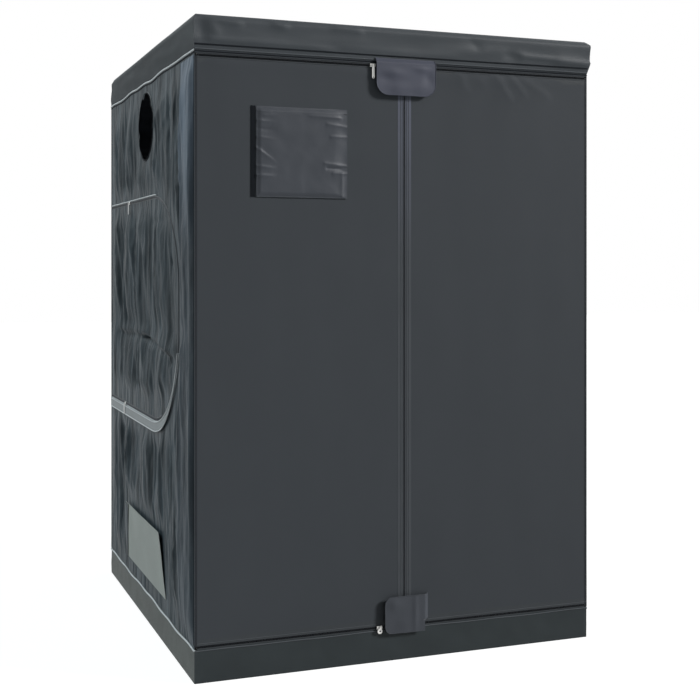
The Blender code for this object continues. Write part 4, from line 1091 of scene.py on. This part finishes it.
def vent_cover():
    """The vent's pale cover with the dark hem of its rear edge."""
    points, faces = patch(vent_outline(0), [], WALL_CELL)
    slack = COVER_SLACK * noise(*points.T / COVER_WAVE, VENT_SEED)
    slack *= smooth_share((points[:, 1] - VENT_LOW) / TRIM_FADE)
    places = leaned(points, GAP + FABRIC + slack)
    cover = sheet_object("vent_cover", places, faces, points, [PALE_CANVAS, CANVAS], FABRIC)
    dress(cover, "vent_flap", ["vent_flap"])
    rear = np.array(vent_outline(0))[[0, 3]]
    points, faces = ribbon([rear, rear + (VENT_HEM, 0)])
    places = leaned(points, 2 * FABRIC + GAP + COVER_SLACK)
    hem = sheet_object("vent_cover_hem", places, faces, points, [WALL_CANVAS])
    dress(hem, "vent_flap")


def leaf_path(sign):
    """The three zipped edges of a leaf, from its top at the hinge to its foot at the hinge."""
    stop = sign * (HALF_WIDTH - HINGE_INSET - ZIP_STOP)
    return [
        (stop, HEADER_ZIP_Z),
        (CENTRE_ZIP_X, HEADER_ZIP_Z),
        (CENTRE_ZIP_X, SILL_ZIP_Z),
        (stop, SILL_ZIP_Z),
    ]


def window_rectangle(lap):
    """The window's opening, or a piece that laps it on every side."""
    inset = WINDOW_COVER_LAP - lap
    return rectangle(
        WINDOW_LEFT_X + inset,
        WINDOW_RIGHT_X - inset,
        WINDOW_BOTTOM + inset,
        WINDOW_TOP - inset,
    )


def leaf(name, sign):
    """One leaf of the front door with its zip half and the ribs beside it."""
    sides = sorted((sign * (HALF_WIDTH - HINGE_INSET), CENTRE_ZIP_X + sign * ZIP_COIL))
    low = SILL_ZIP_Z + ZIP_COIL
    high = HEADER_ZIP_Z - ZIP_COIL
    holes = [window_rectangle(0)] if sign < 0 else []
    laid = patch(rectangle(*sides, low, high), holes, LEAF_CELL)
    cloth = wall_cloth(f"{name}_cloth", "front", laid, leaf_fold(laid[0]), [CANVAS, LINING])
    dress(cloth, name, [name])
    path = leaf_path(sign)
    near = sign * ZIP_COIL / 2
    far = sign * (ZIP_TAPE + ZIP_HEM)
    tape = strip(f"{name}_tape", "front", path, near, far, TAPE_PROUD, TAPE)
    dress(tape, name, [f"{name}_zip"])
    # Over the centre run, a lighter strip and ribs, lighter and bluer towards the top: painted
    # sheen on the zip's tape.
    facing = strip(f"{name}_facing", "front", path[1:3], near, far, PAINTED_STRIP_PROUD, CENTRE_SHEEN)
    dress(facing, name)
    for part, first, finish in (("top_", 0, COIL), ("", 1, CENTRE_COIL), ("foot_", 2, COIL)):
        run = coil(f"{name}_{part}coil", "front", path[first : first + 2], sign, finish)
        dress(run, name)
    for index, reach in enumerate(RIB_REACHES):
        rib = offset_path(resampled(path[1:3], CELL), sign * reach)
        piping(f"{name}_rib_{index}", "front", rib, RIB, 0, CENTRE_SHEEN, name)


def leaf_hems(name, sign):
    """The ribs along a leaf's top and foot, the foot's lighter as a painted highlight, and a dark
    strip beside its hinge that paints the shade of the fold there.
    """
    hinge = sign * (HALF_WIDTH - HINGE_INSET - HINGE_LINE_INSET)
    for part, height, finish in (
        ("hem", HEADER_ZIP_Z - HEM_RIB_DROP, CANVAS),
        ("foot", SILL_ZIP_Z + HEM_RIB_DROP + ZIP_COIL, RIM),
    ):
        line = resampled([(hinge, height), (CENTRE_ZIP_X, height)], CELL)
        piping(f"{name}_{part}_rib", "front", line, RIB, 0, finish, name)
    # A dark strip beside the hinge: painted shade of the fold there.
    upright = [(hinge, HEADER_ZIP_Z), (hinge, SILL_ZIP_Z)]
    far = sign * HINGE_SHADE_WIDTH
    line = strip(f"{name}_hinge_shade_line", "front", upright, 0, far, PAINTED_STRIP_PROUD, HINGE_SHADE)
    dress(line, name)


def front_doors():
    """The two leaves of the front door, and the zip halves above and below them."""
    for name, sign in LEAVES:
        leaf(name, sign)
    for name, sign in LEAVES:
        leaf_hems(name, sign)
    stop = HALF_WIDTH - HINGE_INSET - ZIP_STOP
    for name, line, sign in (("header", HEADER_ZIP_Z, 1), ("sill", SILL_ZIP_Z, -1)):
        path = [(-stop, line), (stop, line)]
        near = sign * ZIP_COIL / 2
        far = WALL_HIGH - line if sign > 0 else WALL_LOW - line
        tape = strip(f"{name}_tape", "front", path, near, far, TAPE_PROUD, TAPE)
        dress(tape, "root", [f"{name}_zip"])
        dress(coil(f"{name}_coil", "front", path, sign, COIL), "root")


def window_film():
    """The clear film behind the window."""
    laid = patch(window_rectangle(WINDOW_FILM_LAP), [], LEAF_CELL)
    film = wall_cloth("window_sheet", "front", laid, -FABRIC - GAP, [FILM], FABRIC / 2)
    dress(film, "door_left", ["window_film"])


def flap_layout(width, drop, corner, stand, sewn):
    """A flap's points below its hinge, how far each stands out, its faces and its free rim."""
    arc = np.linspace(0, math.pi / 2, SIDE_ARC_POINTS // 2 + 1)
    rounded = drop - corner + corner * np.sin(arc)
    rows = np.concatenate([spaced(0, drop - corner, FLAP_CELL)[:-1], rounded])
    columns = spaced(-1, 1, 2 * FLAP_CELL / width)
    points, faces = grid(columns, rows)
    across, below = points.T
    share = np.maximum(below - drop + corner, 0) / corner
    half = width / 2 - corner * (1 - np.sqrt(np.maximum(1 - share**2, 0)))
    free = across * width / 2 > sewn
    lift = np.where(free, stand, stand * smooth_share(below / FLAP_BEND))
    below = np.where(free, FLAP_BEND + below * (drop - FLAP_BEND) / drop, below)
    across = across * half
    slack = noise(across / FLAP_WAVE, below / FLAP_WAVE, FLAP_SEED) * smooth_share(below / drop)
    index = np.arange(len(points)).reshape(len(rows), len(columns))
    rim = [*index[:, 0], *index[-1, 1:], *index[-2::-1, -1]]
    return across, below, lift + FLAP_SLACK * slack, faces, rim


def flap(name, body, points, inner, faces, finish):
    """A flap's cloth in front of the front wall, its back at inner."""
    laid = points, facing_out(points, faces)
    cover = wall_cloth(name, "front", laid, inner + FABRIC, [finish], FABRIC)
    return dress(cover, body, [body])


def window_cover():
    """The puffed, wrinkled cover of the window, with a black strip to its left that paints its
    cast shadow, its lighter hem that paints a highlight, and its dark seam that paints shade.
    """
    width = WINDOW_RIGHT_X - WINDOW_LEFT_X
    height = WINDOW_TOP - WINDOW_BOTTOM
    layout = flap_layout(width, height, WINDOW_COVER_CORNER, CLOTH, TENT_WIDTH)
    across, below, lift, faces, _ = layout
    from_left = across + width / 2
    from_right = (width / 2 - across) / COVER_RIGHT_SOFTNESS
    edge = np.minimum(np.minimum(from_left, from_right), height - below)
    out = smooth_share(edge / COVER_SHOULDER) * smooth_share(below / COVER_SHOULDER)
    wrinkles = creases(from_left, height - below, WINDOW_CREASE_SHARES, width, height)
    out += wrinkles * (1 - smooth_share(edge / COVER_WRINKLE_REACH))
    out += COVER_RUMPLE_SHARE * noise(across / FLAP_WAVE, below / FLAP_WAVE, COVER_SEED)
    inner = GAP + np.minimum(lift, CLOTH) + COVER_PILLOW * np.maximum(out, 0)
    points = np.stack([(WINDOW_RIGHT_X + WINDOW_LEFT_X) / 2 + across, WINDOW_TOP - below], 1)
    cover = flap("window_cover", "window_flap", points, inner, faces, COVER_CANVAS)
    # A black strip beside the cover's left edge: painted shadow of the cover.
    upright = [(WINDOW_LEFT_X, WINDOW_BOTTOM), (WINDOW_LEFT_X, WINDOW_TOP)]
    reach = (COVER_SHADOW_GAP, COVER_SHADOW)
    tape = strip("window_cover_shadow", "front", upright, *reach, COVER_SHADOW_PROUD, SHADE_BLACK)
    dress(tape, "door_left")
    for name, place, finish in (
        ("window_hem", WINDOW_BOTTOM + HEM_CORD, RIM),
        ("window_seam_shade", WINDOW_TOP - COVER_SHOULDER, SEAM_SHADE),
    ):
        line = [(u, place) for u in spaced(WINDOW_LEFT_X, WINDOW_RIGHT_X, CELL)]
        piping(name, "front", line, HEM_CORD, 2 * FABRIC, finish, "window_flap")


def zip_cover(name, finish, layout, points, seat, dent_shares):
    """A dented cover over a crossing of the zips, with the bound edge of its free sides."""
    _, below, lift, faces, rim = layout
    dents = dimples(*(points - points.min(axis=0)).T, dent_shares, *extent(points))
    inner = seat + lift + FLAP_DENT * dents * smooth_share((below - FLAP_BEND) / FLAP_BEND)
    cover = flap(f"{name}_cover", f"{name}_flap", points, inner, faces, finish)
    edge = on_wall("front", points[rim], inner[rim] + FABRIC)
    dress(tube(f"{name}_cover_edge", edge, HEM_CORD, finish), f"{name}_flap")
    return cover


def top_cover():
    """The cover over the upper crossing of the zips, hung from the band."""
    width = TOP_FLAP_RIGHT_X - TOP_FLAP_LEFT_X
    middle = (TOP_FLAP_RIGHT_X + TOP_FLAP_LEFT_X) / 2
    share = (TENT_HEIGHT - TOP_FLAP_HINGE_Z) / CAP_DROP
    seat = cap_swell(TOP_FLAP_RIGHT_X, -HALF_DEPTH, share)[1] + GAP
    stand = FLAP_STAND - seat
    layout = flap_layout(width, TOP_FLAP_DROP, TOP_FLAP_CORNER, stand, TENT_WIDTH)
    points = np.stack([middle + layout[0], TOP_FLAP_HINGE_Z - layout[1]], 1)
    dents = TOP_FLAP_DENT_SHARES
    cover = zip_cover("top", FLAP_CANVAS, layout, points, seat, dents)


def bottom_cover():
    """The cover over the lower crossing of the zips, hung from its upright right edge."""
    height = BOTTOM_FLAP_HIGH - BOTTOM_FLAP_LOW
    centre = (BOTTOM_FLAP_HIGH + BOTTOM_FLAP_LOW) / 2
    sewn = centre - SILL_ZIP_Z - ZIP_TAPE
    layout = flap_layout(height, BOTTOM_FLAP_REACH, BOTTOM_FLAP_CORNER, FLAP_STAND, sewn)
    points = np.stack([BOTTOM_FLAP_HINGE_X - layout[1], centre - layout[0]], 1)
    dents = BOTTOM_FLAP_DENT_SHARES
    cover = zip_cover("bottom", COVER_CANVAS, layout, points, GAP, dents)


def seam(half, height, waver, seed):
    """A seam along a wall at a height, which wavers a little up and down."""
    line = spaced(-half, half, CELL)
    return np.stack([line, height + waver * noise(line / SEAM_WAVE, line * 0, seed)], 1)


def trims():
    """The piping along the tub, the band and the corners, and the rib over the front door."""
    for turns, side in enumerate(SIDES):
        half = HALF_DEPTH if turns % 2 else HALF_WIDTH
        height = TUB_RISE - TUB_PIPING_DROP
        if side == "front":
            tub = seam(half, height, SEAM_WAVER * FRONT_WAVER_SHARE, TUB_SEAM_SEED)
            piping("tub_piping_front", side, tub, PIPING, GAP, RIM)
        else:
            tub = seam(half, height, SEAM_WAVER, TUB_SEAM_SEED)
            piping(f"tub_piping_{side}", side, tub, SIDE_PIPING, GAP, PIPING_CLOTH)
            cap = seam(half, WALL_HIGH + CAP_PIPING_RISE, SEAM_WAVER, CAP_SEAM_SEED)
            piping(f"cap_piping_{side}", side, cap, SIDE_PIPING, GAP, PIPING_CLOTH)
            # A dark cord under the band's side piping: painted shade.
            cap -= (0, 2 * SIDE_PIPING)
            piping(f"cap_edge_shadow_{side}", side, cap, CAP_STITCH, GAP, SEAM_SHADE)
        corner = [(half, v) for v in spaced(WALL_LOW, WALL_HIGH, CELL)]
        piping(f"corner_piping_{side}", side, corner, PIPING / 2, GAP, CANVAS)
    middle = (WALL_HIGH + HEADER_ZIP_Z + ZIP_COIL) / 2
    line = [(u, middle) for u in spaced(-HALF_WIDTH, HALF_WIDTH, CELL)]
    piping("header_rib", "front", line, PIPING, 0, CANVAS)


def linear(colour):
    """A colour given in screen values 0 to 255 as the renderer's own values."""
    out = []
    for share in (value / SCREEN_TOP for value in colour):
        curved = ((share + CURVE_OFFSET_SHARE) / (1 + CURVE_OFFSET_SHARE)) ** CURVE_POWER
        out.append(share / DARK_SLOPE if share <= DARK_END_SHARE else curved)
    return out


def add_node(tree, kind, inputs, **options):
    """A shader node with its options, each input set to a value or linked to a socket."""
    node = tree.nodes.new(f"ShaderNode{kind}")
    for name, option in options.items():
        setattr(node, name, option)
    for name, value in inputs.items():
        if isinstance(value, bpy.types.NodeSocket):
            tree.links.new(value, node.inputs[name])
        else:
            node.inputs[name].default_value = value
    return node


def plain_finish(name, colour, roughness, metallic=0.0, specular=SPECULAR):
    """A plain material; returns it with its shader."""
    material = bpy.data.materials.new(name)
    material.use_nodes = True
    shader = material.node_tree.nodes["Principled BSDF"]
    shader.inputs["Base Color"].default_value = (*linear(colour), 1)
    shader.inputs["Roughness"].default_value = roughness
    shader.inputs["Metallic"].default_value = metallic
    shader.inputs["Specular IOR Level"].default_value = specular
    return material, shader


def wrinkle_relief(tree, laid, depth):
    """Upright wrinkles too small for the mesh: a bent normal, and where the widest ones lie, which
    the painted sheen streaks follow.
    """
    relief = {}
    places = []
    for width, length, lean, share in WRINKLES:
        turned = {"Vector": laid, "Rotation": (0, 0, lean), "Scale": (1 / width, 1 / length, 1)}
        places.append(add_node(tree, "Mapping", turned).outputs["Vector"])
        lumps = {"Vector": places[-1], "Scale": 1, "Detail": WRINKLE_DETAIL}
        relief["Height"] = add_node(tree, "TexNoise", lumps).outputs["Fac"]
        relief["Distance"] = depth * share
        relief["Normal"] = add_node(tree, "Bump", relief).outputs["Normal"]
    return relief["Normal"], places[0]


def rising_colour(tree, laid, low_colour, high_colour):
    """A colour that turns from one to another with height on the tent."""
    height = add_node(tree, "SeparateXYZ", {"Vector": laid}).outputs["Y"]
    span = {"From Min": SHEEN_TOP - SHEEN_FADE, "From Max": SHEEN_TOP, "Value": height}
    share = add_node(tree, "MapRange", span).outputs["Result"]
    ends = {"A": (*linear(low_colour), 1), "B": (*linear(high_colour), 1), "Factor": share}
    return add_node(tree, "Mix", ends, data_type="RGBA").outputs["Result"]


def woven_finish(
    name, colour, roughness, specular, tone_and_sheen_share, pitch=WEAVE_PITCH, wrinkle=0.0, top_colour=None
):
    """A woven cloth: crossed threads and small wrinkles as relief, and random tone in its colour,
    which with wrinkles runs in streaks along them as painted sheen.

    With a top colour, the cloth turns from its colour to that one towards the top of the tent; the
    top colours given are lighter and bluer, a painted sheen.
    """
    material, shader = plain_finish(name, colour, roughness, specular=specular)
    tree = material.node_tree
    laid = add_node(tree, "UVMap", {}, uv_map=CLOTH_MAP).outputs["UV"]
    threads = {"Vector": laid, "Scale": math.tau / (WAVE_FACTOR * pitch)}
    crossed = {}
    for place, direction in enumerate("XY"):
        wave = add_node(tree, "TexWave", threads, bands_direction=direction)
        crossed[place] = wave.outputs["Fac"]
    height = add_node(tree, "Math", crossed, operation="MULTIPLY").outputs["Value"]
    relief = {"Distance": WEAVE_DEPTH, "Height": height}
    tone_and_sheen = {"Vector": laid, "Scale": 1 / WEAR_SIZE, "Detail": TONE_AND_SHEEN_DETAIL}
    # With wrinkles, the tone follows the widest wrinkles in streaks: painted sheen.
    if wrinkle:
        relief["Normal"], tone_and_sheen["Vector"] = wrinkle_relief(tree, laid, wrinkle)
        tone_and_sheen["Scale"] = SHEEN_STREAKS_ACROSS
    normal = add_node(tree, "Bump", relief).outputs["Normal"]
    tree.links.new(normal, shader.inputs["Normal"])
    shade = {
        "Value": add_node(tree, "TexNoise", tone_and_sheen).outputs["Fac"],
        "From Min": TONE_AND_SHEEN_LOW_SHARE,
        "From Max": TONE_AND_SHEEN_HIGH_SHARE,
        "To Min": 1 - tone_and_sheen_share,
        "To Max": 1 + tone_and_sheen_share,
    }
    parts = {
        0: rising_colour(tree, laid, colour, top_colour) if top_colour else linear(colour),
        "Scale": add_node(tree, "MapRange", shade).outputs["Result"],
    }
    toned = add_node(tree, "VectorMath", parts, operation="SCALE").outputs["Vector"]
    tree.links.new(toned, shader.inputs["Base Color"])
    return material


def seen_directly(tree):
    """1 where the camera, a reflection or a view through film meets the surface, else 0."""
    ray = add_node(tree, "LightPath", {})
    seen = ray.outputs["Is Camera Ray"]
    for kind in ("Is Glossy Ray", "Is Transmission Ray"):
        either = add_node(tree, "Math", {0: seen, 1: ray.outputs[kind]}, operation="MAXIMUM")
        seen = either.outputs["Value"]
    return seen


def floor_finish():
    """A white floor that the camera sees as pure white outside the tent's shadow."""
    material, shader = plain_finish(
        "floor_white", FLOOR_COLOUR, FLOOR_ROUGHNESS, specular=FLOOR_SPECULAR
    )
    tree = material.node_tree
    tree.links.new(seen_directly(tree), shader.inputs["Emission Strength"])
    shader.inputs["Emission Color"].default_value = (FLOOR_GLOW, FLOOR_GLOW, FLOOR_GLOW, 1)
    return material


def film_finish():
    """Clear tinted film."""
    material, shader = plain_finish("green_film", FILM_COLOUR, FILM_ROUGHNESS)
    shader.inputs["Transmission Weight"].default_value = FILM_CLEAR_SHARE
    return material


# Finishes: colour on screen, roughness and, for cloth, reflection and share of random tone and
# painted sheen
CANVAS = woven_finish("canvas_cloth", (59, 63, 67), 0.6, 0.1, 0.01)
# The walls' cloth: its strong streaks along the wrinkles are painted sheen
WALL_CANVAS = woven_finish("wall_cloth", (46, 55, 60), 0.5, 0.05, 0.35, wrinkle=WALL_WRINKLE)
# Strip beside the left wall's front corner: painted sheen, lighter and bluer towards the top
CORNER_SHEEN_CANVAS = woven_finish(
    "corner_sheen_cloth", (52, 60, 66), 0.5, 0.05, 0.18, wrinkle=WALL_WRINKLE, top_colour=(84, 96, 108)
)
CAP_CANVAS = woven_finish("cap_cloth", (57, 62, 66), 0.5, 0.2, 0.02)
# Darker copy of the cap's cloth for its sides: painted shade
SHADED_CAP_SIDE = woven_finish("cap_side_painted_shade", (46, 51, 54), 0.6, 0.04, 0.10)
COVER_CANVAS = woven_finish("cover_cloth", (58, 62, 68), 0.42, 0.22, 0.03)
FLAP_CANVAS = woven_finish("flap_cloth", (70, 73, 84), 0.5, 0.15, 0.03)
PALE_CANVAS = woven_finish("pale_cloth", (142, 147, 143), 0.7, 0.15, 0.04)
TARPAULIN = woven_finish("tub_coating", (48, 54, 56), 0.36, 0.12, 0.06)
# Lighter copy of the tub's coating for its sides: painted sheen
LIT_TUB_SIDE = woven_finish("tub_side_painted_sheen", (66, 71, 69), 0.45, 0.05, 0.15)
TAPE = woven_finish("tape_weave", (56, 60, 63), 0.55, 0.15, 0.05, WEAVE_PITCH / 2)
# Dark strip beside each leaf's hinge: painted shade
HINGE_SHADE = woven_finish("hinge_painted_shade", (42, 45, 49), 0.6, 0.1, 0.05)
# Dark cord along seams and under edges: painted shade, and at the band's lower edge a painted
# shadow
SEAM_SHADE = woven_finish("seam_painted_shade", (34, 37, 41), 0.8, 0.05, 0.05)
# Near-black cloth standing for shade: the duct sleeve, the port's rim and the window cover's
# shadow strip
SHADE_BLACK = woven_finish("painted_shade_black", (22, 25, 29), 0.8, 0.05, 0.05)
# Lighter cloth over the centre zip's tape and ribs, lighter and bluer towards the top: painted
# sheen
CENTRE_SHEEN = woven_finish("centre_tape_sheen", (69, 73, 77), 0.6, 0.12, 0.05, top_colour=(89, 93, 105))
CENTRE_COIL = plain_finish("centre_nylon", (50, 53, 57), 0.6, specular=0.1)[0]
COIL = plain_finish("coil_nylon", (24, 26, 29), 0.7, specular=0.05)[0]
NET = plain_finish("net_thread", (45, 47, 50), 0.7)[0]
PIPING_CLOTH = woven_finish("piping_cloth", (176, 182, 184), 0.5, 0.2, 0.05)
GUARD_CLOTH = woven_finish("guard_cloth", (104, 111, 113), 0.5, 0.2, 0.05)
# Lighter than the cloth it edges; on the band's hem, the leaves' foot ribs and the window's hem it
# is a painted highlight, and it also colours the tub's front piping
RIM = woven_finish("rim_cloth", (78, 82, 86), 0.7, 0.1, 0.06)
LINING = plain_finish("silver_lining", (190, 192, 194), 0.4, metallic=0.25)[0]
FILM = film_finish()
STEEL = plain_finish("white_coat", (205, 206, 204), 0.35)[0]
PLASTIC = plain_finish("moulded_black", (38, 38, 40), 0.5)[0]
METAL = plain_finish("zip_nickel", (226, 226, 223), 0.35, metallic=0.25)[0]
FLOOR = floor_finish()


def carried_over():
    """Better finishes on the solids that stay: the frame and the zip hardware."""
    finishes = dict.fromkeys(("post", "rail", "bar"), STEEL)
    finishes |= dict.fromkeys(("slider", "pull"), METAL)
    finishes["connector"] = PLASTIC
    for name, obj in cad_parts.items():
        for word, finish in finishes.items():
            if word in name:
                obj.data.materials.clear()
                obj.data.materials.append(finish)


def lights():
    """Two soft lights, even light all round, and a white background."""
    world = bpy.data.worlds.new("studio")
    bpy.context.scene.world = world
    world.use_nodes = True
    tree = world.node_tree
    even = tree.nodes["Background"]
    even.inputs["Color"].default_value = (1, 1, 1, 1)
    even.inputs["Strength"].default_value = FILL_SHARE
    white = add_node(tree, "Background", {"Color": (1, 1, 1, 1)})
    shaders = {1: even.outputs["Background"], 2: white.outputs["Background"]}
    mix = add_node(tree, "MixShader", {"Fac": seen_directly(tree), **shaders})
    tree.links.new(mix.outputs["Shader"], tree.nodes["World Output"].inputs["Surface"])
    for name, origin, spread, strength, colour in LIGHTS:
        lamp = bpy.data.lights.new(name, "SUN")
        lamp.energy = strength
        lamp.angle = math.radians(spread)
        lamp.color = colour
        light = added(name, lamp)
        light.rotation_euler = Vector(origin).to_track_quat("Z", "Y").to_euler()


def floor():
    """A plain white floor."""
    mesh = bpy.data.meshes.new("floor")
    half = BACKDROP_SIDE / 2
    corners = [(x, y, 0) for x, y in rectangle(-half, half, -half, half)]
    mesh.from_pydata(corners, [], [(0, 1, 2, 3)])
    mesh.materials.append(FLOOR)
    added("floor", mesh)


def camera():
    """The camera that took the photograph, as fitted to the tent's corners."""
    data = bpy.data.cameras.new("camera")
    data.sensor_width = SENSOR
    data.lens = FOCAL_PIXELS / IMAGE_SIDE * SENSOR
    data.shift_x = (IMAGE_SIDE / 2 - CENTRE_PIXELS[0]) / IMAGE_SIDE
    data.shift_y = (CENTRE_PIXELS[1] - IMAGE_SIDE / 2) / IMAGE_SIDE
    obj = added("camera", data)
    obj.location = CAMERA_PLACE
    obj.rotation_euler = CAMERA_AIM.to_track_quat("-Z", "Y").to_euler()
    bpy.context.scene.camera = obj
    bpy.context.scene.view_settings.view_transform = "Standard"


roof_cap()
floor_tub()
hanging_walls()
corner_sheen_strip()
side_door()
duct_sleeve()
vent_net()
vent_cover()
front_doors()
window_film()
window_cover()
top_cover()
bottom_cover()
trims()
carried_over()
lights()
floor()
camera()
